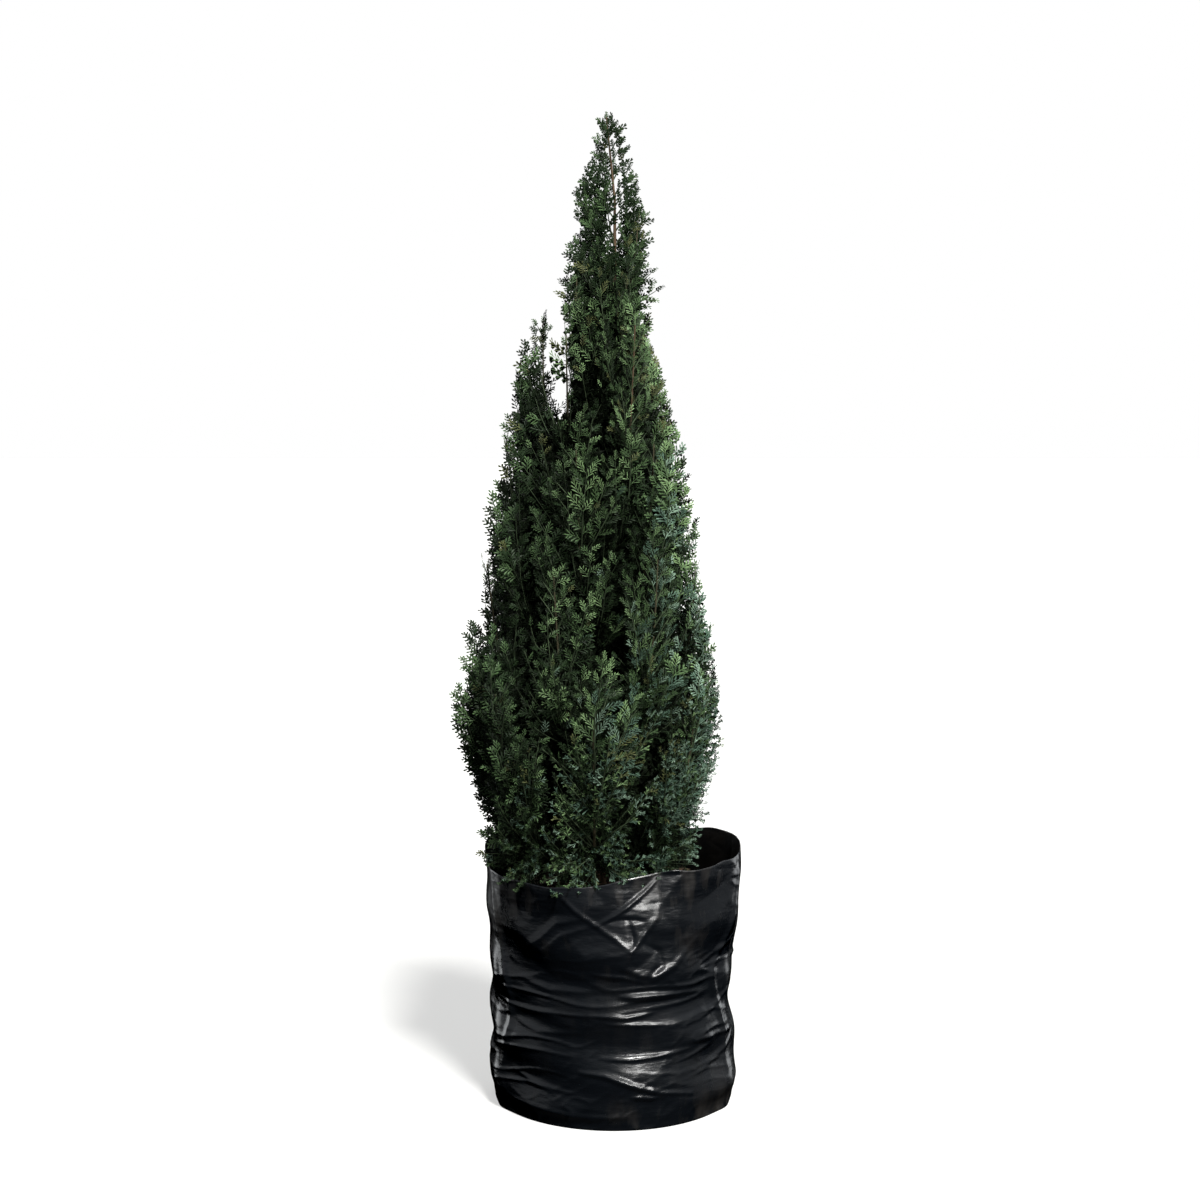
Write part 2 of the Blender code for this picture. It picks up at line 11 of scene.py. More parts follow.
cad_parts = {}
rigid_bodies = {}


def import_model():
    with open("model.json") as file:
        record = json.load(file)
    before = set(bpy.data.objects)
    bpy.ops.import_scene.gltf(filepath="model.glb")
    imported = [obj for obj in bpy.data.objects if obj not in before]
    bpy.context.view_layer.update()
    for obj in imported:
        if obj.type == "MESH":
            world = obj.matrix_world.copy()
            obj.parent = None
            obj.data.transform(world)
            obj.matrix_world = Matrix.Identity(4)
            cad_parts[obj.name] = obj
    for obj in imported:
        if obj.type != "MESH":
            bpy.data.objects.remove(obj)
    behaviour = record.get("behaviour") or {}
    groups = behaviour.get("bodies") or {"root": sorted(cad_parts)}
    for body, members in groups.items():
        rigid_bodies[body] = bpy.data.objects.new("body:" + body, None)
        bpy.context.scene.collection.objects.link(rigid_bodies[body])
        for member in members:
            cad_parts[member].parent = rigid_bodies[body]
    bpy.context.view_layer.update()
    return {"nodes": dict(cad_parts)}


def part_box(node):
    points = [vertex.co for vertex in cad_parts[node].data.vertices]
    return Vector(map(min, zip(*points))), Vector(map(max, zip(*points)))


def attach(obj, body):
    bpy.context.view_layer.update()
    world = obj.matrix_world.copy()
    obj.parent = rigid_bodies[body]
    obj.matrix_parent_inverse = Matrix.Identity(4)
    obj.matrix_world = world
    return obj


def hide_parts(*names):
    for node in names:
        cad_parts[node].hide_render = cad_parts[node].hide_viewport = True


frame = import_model()
nodeNames = sorted(frame["nodes"])
up = Vector((0, 0, 1))
front = Vector((0, -1, 0))

# The camera comes first, then the stage.
cameraSettings = {"place": (-0.0165, -2.4, 0.84), "pitchDown": 5.52, "lens": 59.76, "sensor": 36.0}
stageSettings = {
    "floorSize": 60.0,
    "floorColour": (0.90, 0.90, 0.89),
    "floorTint": 0.42,  # the share of its colour that it reflects
    "floorGlow": 0.60,
    "backdrop": 1.0,  # what the camera sees behind the plant
    "skyColour": (0.90, 0.95, 1.0),
    "skyStrength": ((0.0, 0.02), (0.46, 0.02), (0.56, 0.10), (1.0, 0.14)),  # height in the sky, strength
    # bearing from the front towards the right, height, width of the sun in degrees, power and colour
    "suns": {
        "keyLight": (22, 15, 12, 0.85, (1.0, 0.99, 0.97)),
        "keyWide": (40, 17, 14, 0.75, (1.0, 0.99, 0.97)),
        "rightFill": (84, 18, 80, 0.16, (0.96, 0.98, 1.0)),
        "leftFill": (-84, 12, 50, 0.12, (0.96, 0.98, 1.0)),
        "topLight": (24, 58, 10, 5.9, (1.0, 0.99, 0.96)),
        "backLight": (172, 42, 30, 0.7, (1.0, 0.99, 0.97)),
        "leftEdge": (-128, 2, 36, 0.6, (0.95, 0.98, 1.0)),
        "rightEdge": (132, 6, 40, 0.6, (0.95, 0.98, 1.0)),
    },
}


def link(thing):
    bpy.context.scene.collection.objects.link(thing)
    return thing


def feed(tree, socket, value):
    # links what comes from another node, and sets anything else
    source = getattr(value, "socket", value)
    if isinstance(source, bpy.types.NodeSocket):
        tree.links.new(source, socket)
    else:
        socket.default_value = source


def addNode(tree, kind, sockets=None, **settings):
    made = tree.nodes.new(kind)
    for name, value in settings.items():
        setattr(made, name, value)
    for name, value in (sockets or {}).items():
        feed(tree, made.inputs[name], value)
    return made


def makeCamera(settings):
    data = bpy.data.cameras.new("camera")
    data.lens = settings["lens"]
    data.sensor_width = settings["sensor"]
    camera = link(bpy.data.objects.new("camera", data))
    camera.location = settings["place"]
    camera.rotation_euler = (math.radians(90 - settings["pitchDown"]), 0, 0)
    bpy.context.scene.camera = camera


def makeLights(settings):
    for name, (bearing, height, spread, power, colour) in settings["suns"].items():
        data = bpy.data.lights.new(name, "SUN")
        data.energy = power
        data.angle = math.radians(spread)
        data.color = colour
        sun = link(bpy.data.objects.new(name, data))
        turn, flat = math.radians(bearing), math.cos(math.radians(height))
        towards = Vector((math.sin(turn) * flat, -math.cos(turn) * flat, math.sin(math.radians(height))))
        sun.rotation_euler = (-towards).to_track_quat("-Z", "Y").to_euler()


def makeSky(settings):
    # a plain bright backdrop for the camera, and a dimmer sky for light and reflections
    world = bpy.data.worlds.new("studio")
    world.use_nodes = True
    tree = world.node_tree
    spot = addNode(tree, "ShaderNodeTexCoord")
    parts = addNode(tree, "ShaderNodeSeparateXYZ", {0: spot.outputs["Generated"]})
    half = {0: parts.outputs["Z"], 1: 0.5, 2: 0.5}
    height = addNode(tree, "ShaderNodeMath", half, operation="MULTIPLY_ADD")
    strength = addNode(tree, "ShaderNodeFloatCurve", {"Value": height.outputs[0]})
    lowest, *between, highest = settings["skyStrength"]
    marks = strength.mapping.curves[0].points
    marks[0].location, marks[1].location = lowest, highest
    for mark in between:
        marks.new(*mark)
    strength.mapping.update()
    sky = tree.nodes["Background"]
    feed(tree, sky.inputs["Color"], (*settings["skyColour"], 1))
    feed(tree, sky.inputs["Strength"], strength.outputs[0])
    white = {"Color": (1, 1, 1, 1), "Strength": settings["backdrop"]}
    backdrop = addNode(tree, "ShaderNodeBackground", white)
    seen = addNode(tree, "ShaderNodeLightPath").outputs["Is Camera Ray"]
    mix = addNode(tree, "ShaderNodeMixShader", {"Fac": seen, 1: sky.outputs[0], 2: backdrop.outputs[0]})
    feed(tree, tree.nodes["World Output"].inputs["Surface"], mix.outputs[0])
    bpy.context.scene.world = world
    bpy.context.scene.view_settings.view_transform = "Standard"


makeCamera(cameraSettings)
makeLights(stageSettings)
makeSky(stageSettings)
print("camera, lights and sky are in place")


# Shader maths. A Value is a socket that can be added to and multiplied.
class Value:
    def __init__(self, finish, socket):
        self.finish, self.socket = finish, socket

    def __add__(self, other):
        return self.finish.node("ShaderNodeMath", {0: self, 1: other}, operation="ADD")

    def __mul__(self, other):
        return self.finish.node("ShaderNodeMath", {0: self, 1: other}, operation="MULTIPLY")

    __radd__ = __add__
    __rmul__ = __mul__


class Finish:
    # one material, built up node by node round its Principled shader
    def __init__(self, name, **constants):
        self.material = bpy.data.materials.new(name)
        self.material.use_nodes = True
        self.tree = self.material.node_tree
        self.shader = self.tree.nodes["Principled BSDF"]
        for socket, value in constants.items():
            self.put(socket.replace("_", " "), value)

    def put(self, socket, value):
        feed(self.tree, self.shader.inputs[socket], (*value, 1) if isinstance(value, tuple) else value)

    def node(self, kind, sockets, output=0, **settings):
        return Value(self, addNode(self.tree, kind, sockets, **settings).outputs[output])

    def place(self, stretch=(1.0, 1.0, 1.0)):
        spot = self.node("ShaderNodeTexCoord", {}, "Object")
        return self.node("ShaderNodeMapping", {"Vector": spot, "Scale": stretch})

    def speckle(self, scale, detail, *stretch):
        sockets = {"Vector": self.place(*stretch), "Scale": scale, "Detail": detail}
        return self.node("ShaderNodeTexNoise", sockets)

    def between(self, value, low, high, start=0.0, end=1.0):
        sockets = {"Value": value, "From Min": low, "From Max": high, "To Min": start, "To Max": end}
        return self.node("ShaderNodeMapRange", sockets, clamp=True)

    def mix(self, factor, first, second):
        sockets = {0: factor, 6: (*first, 1), 7: (*second, 1)}
        return self.node("ShaderNodeMix", sockets, 2, data_type="RGBA")

    def bump(self, height, strength, distance):
        sockets = {"Height": height, "Strength": strength, "Distance": distance}
        self.put("Normal", self.node("ShaderNodeBump", sockets))


# Each look: roughness, gloss, the noise that is also its bump and a second one (scale, detail),
# share of the first, what of their sum runs from dark to pale, and the bump's strength and height.
grainLooks = {
    "leaf": (0.50, 0.14, (700.0, 1.0), (60.0, 3.0), 0.30, (0.30, 0.70), (0.35, 0.0006)),
    "shadeLeaf": (0.50, 0.04, (700.0, 1.0), (60.0, 3.0), 0.30, (0.30, 0.70), (0.35, 0.0006)),
    "wood": (0.82, 0.25, (160.0, 4.0), (45.0, 2.0), 0.65, (0.34, 0.66), (0.6, 0.0012)),
    "mix": (0.95, 0.20, (260.0, 5.0), (50.0, 2.0), 0.70, (0.35, 0.68), (0.9, 0.002)),
}
filmLook = {
    "gloss": 0.72,
    "rimDust": (0.17, 0.27),  # heights that the dust thickens between, towards the rim and towards the foot
    "footDust": (0.04, 0.0),
    "dust": (0.10, 0.75),  # everywhere, and more at the ends
    "dark": (0.0035, 0.0045, 0.0060),
    "dusty": (0.020, 0.017, 0.014),
    "roughness": (0.20, 0.50),
    "crumple": (46.0, 3.0, (0.7, 0.7, 2.2)),
    "bump": (0.28, 0.0030),
}
# the inner face's dark is darker than the film's outside: painted shade inside the bag; its dusty colour is
# dust from the mix
linerLook = {
    "gloss": 0.08,
    "dark": (0.0012, 0.0012, 0.0012),
    "dusty": (0.005, 0.004, 0.003),
    "roughness": (0.55, 0.8),
}


# Each wood: its colour, how pale it gets, and how its grain is stretched.
woodLooks = {
    "bark": ((0.070, 0.044, 0.026), (0.130, 0.085, 0.050), (1.0, 1.0, 0.18)),
    "greenBark": ((0.036, 0.034, 0.018), (0.075, 0.066, 0.036), (1.0, 1.0, 0.18)),
    "greenTwig": ((0.030, 0.050, 0.022), (0.062, 0.090, 0.046), (1.0, 1.0, 0.3)),
    "barkChip": ((0.040, 0.023, 0.014), (0.090, 0.058, 0.038), (1.0, 1.0, 1.0)),
}
tints = {"wood": 0.55, "leafDark": 0.72, "leafPale": 1.32}


def tinted(colour, gain):
    return tuple(min(1.0, part * gain) for part in colour)


def grainFinish(name, look, dark, pale, *stretch):
    roughness, gloss, main, other, share, limits, bump = grainLooks[look]
    finish = Finish(name, Roughness=roughness, Specular_IOR_Level=gloss)
    grain = finish.speckle(*main, *stretch)
    shade = finish.between(grain * share + finish.speckle(*other) * (1 - share), *limits)
    finish.put("Base Color", finish.mix(shade, dark, pale))
    finish.bump(grain, *bump)
    return finish.material


def woodFinish(name):
    colour, pale, stretch = woodLooks[name]
    return grainFinish(name, "wood", tinted(colour, tints["wood"]), pale, stretch)


def filmFinish():
    finish = Finish("blackFilm", Specular_IOR_Level=filmLook["gloss"])
    streak = finish.speckle(60.0, 4.0, (1.0, 1.0, 0.35))
    height = finish.node("ShaderNodeSeparateXYZ", {0: finish.place()}, 2)
    ends = finish.between(height, *filmLook["rimDust"]) + finish.between(height, *filmLook["footDust"])
    least, more = filmLook["dust"]
    dirt = finish.between(finish.speckle(11.0, 5.0) * 0.6 + streak * 0.4, 0.50, 0.66) * (least + more * ends)
    finish.put("Base Color", finish.mix(dirt, filmLook["dark"], filmLook["dusty"]))
    finish.put("Roughness", finish.between(dirt * 0.8 + streak * 0.2, 0.0, 0.7, *filmLook["roughness"]))
    finish.bump(finish.speckle(*filmLook["crumple"]), *filmLook["bump"])
    return finish.material


def linerFinish():
    # the inner face of the film, dull, with dust from the mix, and a darker base than the outer face as
    # painted shade inside the bag
    finish = Finish("filmInside", Specular_IOR_Level=linerLook["gloss"])
    dust = finish.speckle(40.0, 4.0)
    thick = finish.between(dust, 0.4, 0.8)
    finish.put("Base Color", finish.mix(thick, linerLook["dark"], linerLook["dusty"]))
    finish.put("Roughness", finish.between(dust, 0.3, 0.7, *linerLook["roughness"]))
    return finish.material


def addMesh(name, points, faces, *materials):
    mesh = bpy.data.meshes.new(name)
    mesh.from_pydata([tuple(point) for point in points], [], faces)
    for material in materials:
        mesh.materials.append(material)
    mesh.shade_smooth()
    return link(bpy.data.objects.new(name, mesh))


def bridge(low, high, sides):
    # quads from one ring of points to the next, each known by its first point
    return [(low + k, low + (k + 1) % sides, high + (k + 1) % sides, high + k) for k in range(sides)]


def flipped(faces):
    return [(a, d, c, b) for a, b, c, d in faces]


def makeFloor(settings):
    colour = settings["floorColour"]
    shine = {"Roughness": 0.7, "Specular_IOR_Level": 0.1, "Emission_Strength": settings["floorGlow"]}
    shine["Base_Color"] = tinted(colour, settings["floorTint"])
    finish = Finish("paleFloor", Emission_Color=colour, **shine)
    half = settings["floorSize"] / 2
    corners = [(-half, -half, 0), (half, -half, 0), (half, half, 0), (-half, half, 0)]
    floor = addMesh("floor", corners, [(0, 1, 2, 3)], finish.material)
    floor.visible_diffuse = floor.visible_glossy = False  # the film and leaves see a dim floor


makeFloor(stageSettings)


def blend(first, second, share):
    return first * (1 - share) + second * share


def squareTo(direction, towards):
    return (towards - direction * towards.dot(direction)).normalized()


def smoothStep(value, low, high):
    share = min(1.0, max(0.0, (value - low) / (high - low)))
    return share * share * (3 - 2 * share)


def shake(draw, size):
    return draw.uniform(-size, size)


def outwardAt(turn):
    return Vector((math.cos(turn), math.sin(turn), 0))


def leaning(settings, height):
    return Vector((blend(*settings["lean"], smoothStep(height, *settings["bend"])), 0.0, height))


def wrapped(degrees):
    return (degrees + 180) % 360 - 180


def fromTable(table, where):
    # every column of the table but its first, read where the first one says
    marks, *columns = zip(*table)
    return [np.interp(where, marks, column) for column in columns]


def lengthOf(path, pointAt, pieces):
    spots = [pointAt(path, step / pieces) for step in range(pieces + 1)]
    return sum((after - before).length for before, after in zip(spots, spots[1:]))


# The trunk and the limbs grow by the same rule as the solids do.
trunkSettings = {
    "foot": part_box("trunk")[0].z,
    "tip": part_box("trunk")[1].z,
    "radius": 0.0105,
    "tipRadius": 0.0015,
    "flare": 0.0055,
    "flareHeight": 0.030,
    "thinning": 0.85,
    "lean": (-0.024, 0.001),
    "bend": (0.62, 1.00),
    "sides": 28,
    "rings": 260,
    "relief": 0.0009,
}
crownSettings = {
    "lean": (-0.027, -0.004),
    "bend": (0.86, 1.10),
    # height and radius of the crown's outline about its own middle
    "outline": (
        (0.28, 0.138), (0.30, 0.140), (0.34, 0.136), (0.38, 0.140), (0.45, 0.153), (0.50, 0.154),
        (0.55, 0.145), (0.60, 0.136), (0.70, 0.123), (0.80, 0.103), (0.88, 0.083), (0.95, 0.056),
        (1.00, 0.040),
        (1.05, 0.036), (1.10, 0.028), (1.15, 0.016), (1.20, 0.004),
    ),
}
limbSizes = ("leaves", "elbow", "tip", "top", "bough")
limbTiers = {
    "skirt": (7, 18, (0.278, 0.108, 0.142, 0.500, 0.20)),
    "lower": (7, 43, (0.385, 0.094, 0.128, 0.655, 0.24)),
    "middle": (6, 15, (0.500, 0.068, 0.098, 0.805, 0.22)),
    "collar": (3, 88, (0.760, 0.020, 0.040, 1.000, 0.00)),
}
limbSingles = {
    "spire": (168, (0.560, 0.056, 0.066, 0.945, 0.42)),
    "plume": (303, (0.590, 0.060, 0.084, 0.935, 0.24)),
    "shoulder": (16, (0.640, 0.046, 0.076, 0.885, 0.22)),
    "nape": (88, (0.610, 0.046, 0.070, 0.905, 0.22)),
    "breast": (232, (0.620, 0.040, 0.054, 0.925, 0.22)),
    "leader_left": (182, (0.945, 0.012, 0.030, 1.095, 0.00)),
    "leader_right": (2, (0.930, 0.012, 0.034, 1.070, 0.00)),
}
limbSettings = {
    "seed": 11,
    "angleJitter": 5.0,
    "tipJitter": 0.006,
    "topJitter": 0.016,
    "shoulderOut": 0.75,
    "shoulderUp": 0.55,
    "leaderTop": 1.182,
    "leaderDrift": -0.010,
    "radii": (0.0036, 0.0024, 0.0016, 0.0007),  # at its foot, at the end of the bough, halfway, at its tip
    "footInside": 0.6,  # share of the stem's radius where a limb starts
    "stemRadii": (0.0020, 0.0012),  # of the leaders: at the foot, and halfway
}


def trunkPoint(height):
    return leaning(trunkSettings, height)


def trunkRadius(height):
    foot = trunkSettings["foot"]
    share = max(0.0, (height - foot) / (trunkSettings["tip"] - foot))
    flare = trunkSettings["flare"] * math.exp(-(height - foot) / trunkSettings["flareHeight"])
    share = share ** trunkSettings["thinning"]
    return blend(trunkSettings["radius"], trunkSettings["tipRadius"], share) + flare


def crownMiddle(height):
    return leaning(crownSettings, height)


def crownRadius(height):
    return float(fromTable(crownSettings["outline"], height)[0])


def limbOrders():
    draw = random.Random(limbSettings["seed"])
    orders = []
    for tier, (count, first, sizes) in limbTiers.items():
        for number in range(count):
            order = dict(zip(limbSizes, sizes), kind=tier)
            order["angle"] = first + 360 * number / count
            for part, jitter in (("angle", "angleJitter"), ("tip", "tipJitter"), ("top", "topJitter")):
                order[part] += draw.uniform(-1, 1) * limbSettings[jitter]
            orders.append(order)
    for name, (angle, sizes) in limbSingles.items():
        orders.append(dict(zip(limbSizes, sizes), kind=name, angle=angle))
    return orders + [dict(kind="leader_top", top=limbSettings["leaderTop"], bough=0.0)]


def limbPath(order):
    # the four control points of the limb's cubic, from the bark to its tip
    if "leaves" not in order:
        foot = trunkPoint(trunkSettings["tip"])
        tip = Vector((foot.x + limbSettings["leaderDrift"], 0, order["top"]))
        return foot, foot.lerp(tip, 1 / 3), foot.lerp(tip, 2 / 3), tip
    outward = outwardAt(math.radians(order["angle"]))
    axis = trunkPoint(order["leaves"])
    rise = up * ((order["top"] - order["leaves"]) * limbSettings["shoulderUp"])
    start = axis + outward * (trunkRadius(order["leaves"]) * limbSettings["footInside"])
    shoulder = axis + outward * blend(order["elbow"], order["tip"], limbSettings["shoulderOut"]) + rise
    elbow, tip = axis + outward * order["elbow"], crownMiddle(order["top"]) + outward * order["tip"]
    return start, elbow, shoulder, tip


def along(path, share):
    start, elbow, shoulder, tip = path
    rest = 1 - share
    inner = elbow * (3 * rest**2 * share) + shoulder * (3 * rest * share**2)
    return start * rest**3 + inner + tip * share**3


def heading(path, share):
    start, elbow, shoulder, tip = path
    rest = 1 - share
    inner = (shoulder - elbow) * (2 * rest * share)
    return ((elbow - start) * rest**2 + inner + (tip - shoulder) * share**2).normalized()


def outwardOf(point):
    flat = point - crownMiddle(point.z)
    flat.z = 0
    return flat.normalized() if flat.length > 0.002 else front


# Tubes on paths and sprays on points are made by two node trees, which end alike.
def newTree(name, **inputs):
    tree = bpy.data.node_groups.new(name, "GeometryNodeTree")
    for title, kind in inputs.items():
        tree.interface.new_socket(title, in_out="INPUT", socket_type=f"NodeSocket{kind}")
    tree.interface.new_socket("Mesh", in_out="OUTPUT", socket_type="NodeSocketGeometry")
    return tree, tree.nodes.new("NodeGroupInput").outputs


def treeNode(tree, kind, sockets, **settings):
    return addNode(tree, kind, sockets, **settings).outputs[0]


def endTree(tree, geometry, finish):
    whole = treeNode(tree, "GeometryNodeRealizeInstances", {"Geometry": geometry})
    done = treeNode(tree, "GeometryNodeSetMaterial", {"Geometry": whole, "Material": finish})
    addNode(tree, "NodeGroupOutput", {0: done})
    return tree


def tubeTree():
    kinds = {"Paths": "Geometry", "Sides": "Int", "Relief": "Float", "Grain": "Float", "Finish": "Material"}
    tree, given = newTree("tubes on paths", **kinds)
    ring = treeNode(tree, "GeometryNodeCurvePrimitiveCircle", {"Resolution": given["Sides"], "Radius": 1.0})
    sockets = {"Curve": given["Paths"], "Profile Curve": ring, "Fill Caps": True}
    sockets["Scale"] = treeNode(tree, "GeometryNodeInputRadius", {})
    tube = treeNode(tree, "GeometryNodeCurveToMesh", sockets)
    pattern = treeNode(tree, "ShaderNodeTexNoise", {"Scale": given["Grain"], "Detail": 3.0})
    middle = treeNode(tree, "ShaderNodeMath", {0: pattern, 1: 0.5}, operation="SUBTRACT")
    height = treeNode(tree, "ShaderNodeMath", {0: middle, 1: given["Relief"]}, operation="MULTIPLY")
    sockets = {"Vector": treeNode(tree, "GeometryNodeInputNormal", {}), "Scale": height}
    push = treeNode(tree, "ShaderNodeVectorMath", sockets, operation="SCALE")
    moved = treeNode(tree, "GeometryNodeSetPosition", {"Geometry": tube, "Offset": push})
    return endTree(tree, treeNode(tree, "GeometryNodeSetShadeSmooth", {"Geometry": moved}), given["Finish"])


def namedAttribute(tree, kind, title):
    return treeNode(tree, "GeometryNodeInputNamedAttribute", {"Name": title}, data_type=kind)


def sprayTree():
    tree, given = newTree("sprays on points", Points="Geometry", Sprays="Collection", Finish="Material")
    sockets = {"Collection": given["Sprays"], "Separate Children": True, "Reset Children": True}
    kinds = treeNode(tree, "GeometryNodeCollectionInfo", sockets)
    angles = namedAttribute(tree, "FLOAT_VECTOR", "turn")
    sockets = {
        "Points": given["Points"],
        "Instance": kinds,
        "Pick Instance": True,
        "Instance Index": namedAttribute(tree, "INT", "variant"),
        "Rotation": treeNode(tree, "FunctionNodeEulerToRotation", {"Euler": angles}),
        "Scale": namedAttribute(tree, "FLOAT", "size"),
    }
    return endTree(tree, treeNode(tree, "GeometryNodeInstanceOnPoints", sockets), given["Finish"])


def grow(name, base, tree, values):
    # runs the tree on the base and keeps the result as a plain mesh
    modifier = base.modifiers.new("grow", "NODES")
    modifier.node_group = tree
    for item in tree.interface.items_tree:
        if item.in_out == "INPUT" and item.name in values:
            modifier[item.identifier] = values[item.name]
    graph = bpy.context.evaluated_depsgraph_get()
    mesh = bpy.data.meshes.new_from_object(base.evaluated_get(graph))
    mesh.name = name
    bpy.data.objects.remove(base)
    return link(bpy.data.objects.new(name, mesh))


def pathsObject(name, lines):
    # lines holds lists of (point, radius)
    curve = bpy.data.curves.new(name, "CURVE")
    curve.dimensions = "3D"
    for line in lines:
        spline = curve.splines.new("POLY")
        spline.points.add(len(line) - 1)
        spline.points.foreach_set("co", [part for point, _ in line for part in (*point, 1.0)])
        spline.points.foreach_set("radius", [radius for _, radius in line])
    return link(bpy.data.objects.new(name, curve))


tubesOnPaths, spraysOnPoints = tubeTree(), sprayTree()


def pointsObject(name, spots):
    # spots holds (place, turn, size, variant)
    places, turns, sizes, variants = zip(*spots)
    mesh = bpy.data.meshes.new(name)
    mesh.from_pydata([tuple(place) for place in places], [], [])
    turned = mesh.attributes.new("turn", "FLOAT_VECTOR", "POINT")
    turned.data.foreach_set("vector", [part for turn in turns for part in turn])
    mesh.attributes.new("size", "FLOAT", "POINT").data.foreach_set("value", sizes)
    mesh.attributes.new("variant", "INT", "POINT").data.foreach_set("value", variants)
    return link(bpy.data.objects.new(name, mesh))


# The trunk's bark runs in flat strips up the stem.
def makeTrunk(settings, material):
    count, sides = settings["rings"], settings["sides"]
    points = []
    for ring in range(count):
        height = blend(settings["foot"], settings["tip"], ring / (count - 1))
        middle, radius = trunkPoint(height), trunkRadius(height)
        for side in range(sides):
            outward = outwardAt(2 * math.pi * side / sides)
            strip = noise.noise(Vector((outward.x * 3.2, outward.y * 3.2, height * 9)))
            crack = noise.noise(Vector((outward.x * 9, outward.y * 9, height * 42)))
            relief = settings["relief"] * (abs(strip) * 1.6 + crack * 0.7 - 0.3) * radius / settings["radius"]
            points.append(middle + outward * (radius + relief))
    faces = [face for ring in range(count - 1) for face in bridge(ring * sides, (ring + 1) * sides, sides)]
    faces.append(tuple(reversed(range(sides))))
    faces.append(tuple(range((count - 1) * sides, count * sides)))
    trunk = addMesh("trunkBark", points, faces, material)
    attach(trunk, "root")
    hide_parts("trunk")


barkMaterial = woodFinish("bark")
makeTrunk(trunkSettings, barkMaterial)
print("trunk done")


# Sprays of scale leaves, each a blade of blunt fingers along +Y with its face to +Z, one unit long.
sprayShapes = {
    # fingers, their lean, length and width, how many fork, the blade's droop, the fingers' lift, and roll
    "comb": (7, 46, 0.44, 0.060, 0, -0.24, -0.16, 0),
    "crest": (7, 42, 0.54, 0.112, 0, -0.22, -0.12, 0),
    "fan": (8, 33, 0.38, 0.050, 0, 0.04, 0.06, 0),
    "heap": (8, 44, 0.50, 0.250, 0, -0.10, 0.10, 1),
    "tuft": (7, 44, 0.50, 0.086, 0, 0.06, 0.10, 1),
    # under: the dark spray set beneath each lit spray as painted shade
    "under": (5, 46, 0.36, 0.220, 0, -0.16, -0.10, 0),
    "wand": (7, 31, 0.44, 0.100, 1, 0.05, 0.10, 0),
}
fingerSettings = {
    "ridge": 0.34,
    "seed": 3,
    "variants": 3,
    "sway": 0.08,
    "axisLength": 0.86,
    "axisPieces": 3,
    "span": (0.10, 0.84),  # where the fingers leave the axis
    "leanJitter": 7,
    "liftJitter": 0.12,
    "lengths": (0.82, 1.14),
    "widths": (0.9, 1.1),
    "roll": 2.4,  # radians from one finger to the next
}


def addFinger(points, faces, root, direction, face, length, width):
    # a blunt scale-covered branchlet, folded along its middle and widest near its tip
    side = direction.cross(face).normalized() * (width * 0.5)
    low = face * (-width * fingerSettings["ridge"])
    start = len(points)
    points += [
        root,
        root + direction * (length * 0.80) + side + low,
        root + direction * length,
        root + direction * (length * 0.74) - side + low,
    ]
    faces += [(start, start + 1, start + 2), (start, start + 2, start + 3)]


def sprayMesh(name, shape, draw):
    points, faces = [], []
    count, leaning, tall, width, forked, droop, raised, rolls = shape
    settings = fingerSettings
    sway = shake(draw, settings["sway"])

    def axisPoint(share):
        return Vector((sway * math.sin(share * 3), share * settings["axisLength"], droop * share * share))

    pieces = settings["axisPieces"]
    for step in range(pieces):
        low, high = axisPoint(step / pieces), axisPoint((step + 1) / pieces)
        thick = width * (0.62 if step < pieces - 1 else 1)
        addFinger(points, faces, low, (high - low).normalized(), up, (high - low).length * 1.3, thick)
    first, spread = settings["span"]
    for number in range(count):
        share = first + spread * number / count
        root = axisPoint(share)
        ahead = (axisPoint(share + 0.02) - root).normalized()
        hand = 1 if number % 2 else -1
        turn = math.radians(leaning + shake(draw, settings["leanJitter"])) * hand
        face = squareTo(ahead, Matrix.Rotation(rolls * number * settings["roll"], 3, "Y") @ up)
        side = ahead.cross(face)
        lift = face * (raised + shake(draw, settings["liftJitter"]))
        direction = (ahead * math.cos(turn) + side * math.sin(turn) + lift).normalized()
        length = tall * (1 - 0.45 * share) * draw.uniform(*settings["lengths"])
        face = squareTo(direction, face)
        addFinger(points, faces, root, direction, face, length, width * draw.uniform(*settings["widths"]))
        if number < forked:
            branch = (direction + side * (0.6 * hand) + ahead * 0.2).normalized()
            branch = (branch - side * (1.2 * hand)).normalized() if number % 3 == 0 else branch
            reach = length * draw.uniform(0.45, 0.60)
            addFinger(points, faces, root + direction * (length * 0.42), branch, face, reach, width * 0.9)
    mesh = bpy.data.meshes.new(name)
    mesh.from_pydata([tuple(point) for point in points], [], faces)
    return bpy.data.objects.new(name, mesh)


def makeSprayKinds():
    # the node tree picks them by their place in the alphabet
    draw = random.Random(fingerSettings["seed"])
    kinds = bpy.data.collections.new("spray kinds")
    for shape in sorted(sprayShapes):
        for number in range(fingerSettings["variants"]):
            kinds.objects.link(sprayMesh(f"{shape}_{number}", sprayShapes[shape], draw))
    return kinds


# How twigs grow on the limbs. Plumes are the limbs' own ends, with a row of twigs on each side.
# Shoots rise from the limbs to tips that are spread evenly over the crown's outline.
plumeSettings = {
    "step": 0.0105,
    "from": 0.46,
    "lean": (40.0, 28.0),
    "longest": 0.068,
    "shortest": 0.024,
    "side": (-0.35, 0.45),  # how far the twigs stray from the feather's plane, to its back and its face
    "bareFrom": 0.25,  # where they start on a limb without a bough
    "leanJitter": 6,
    "lengths": (0.85, 1.1),
    "arch": -0.06,
    "top": (0.93, 0.97, 1.0),  # the twig at the limb's own end
    "spire": {"step": 0.0048, "longest": 0.042, "shortest": 0.020, "from": 0.40, "facing": (0.1, -1, 0)},
    "plume": {"step": 0.0085},
    "leader_left": {"facing": (-0.3, -1, 0)},
    "leader_right": {"facing": (0.3, -1, 0)},
}
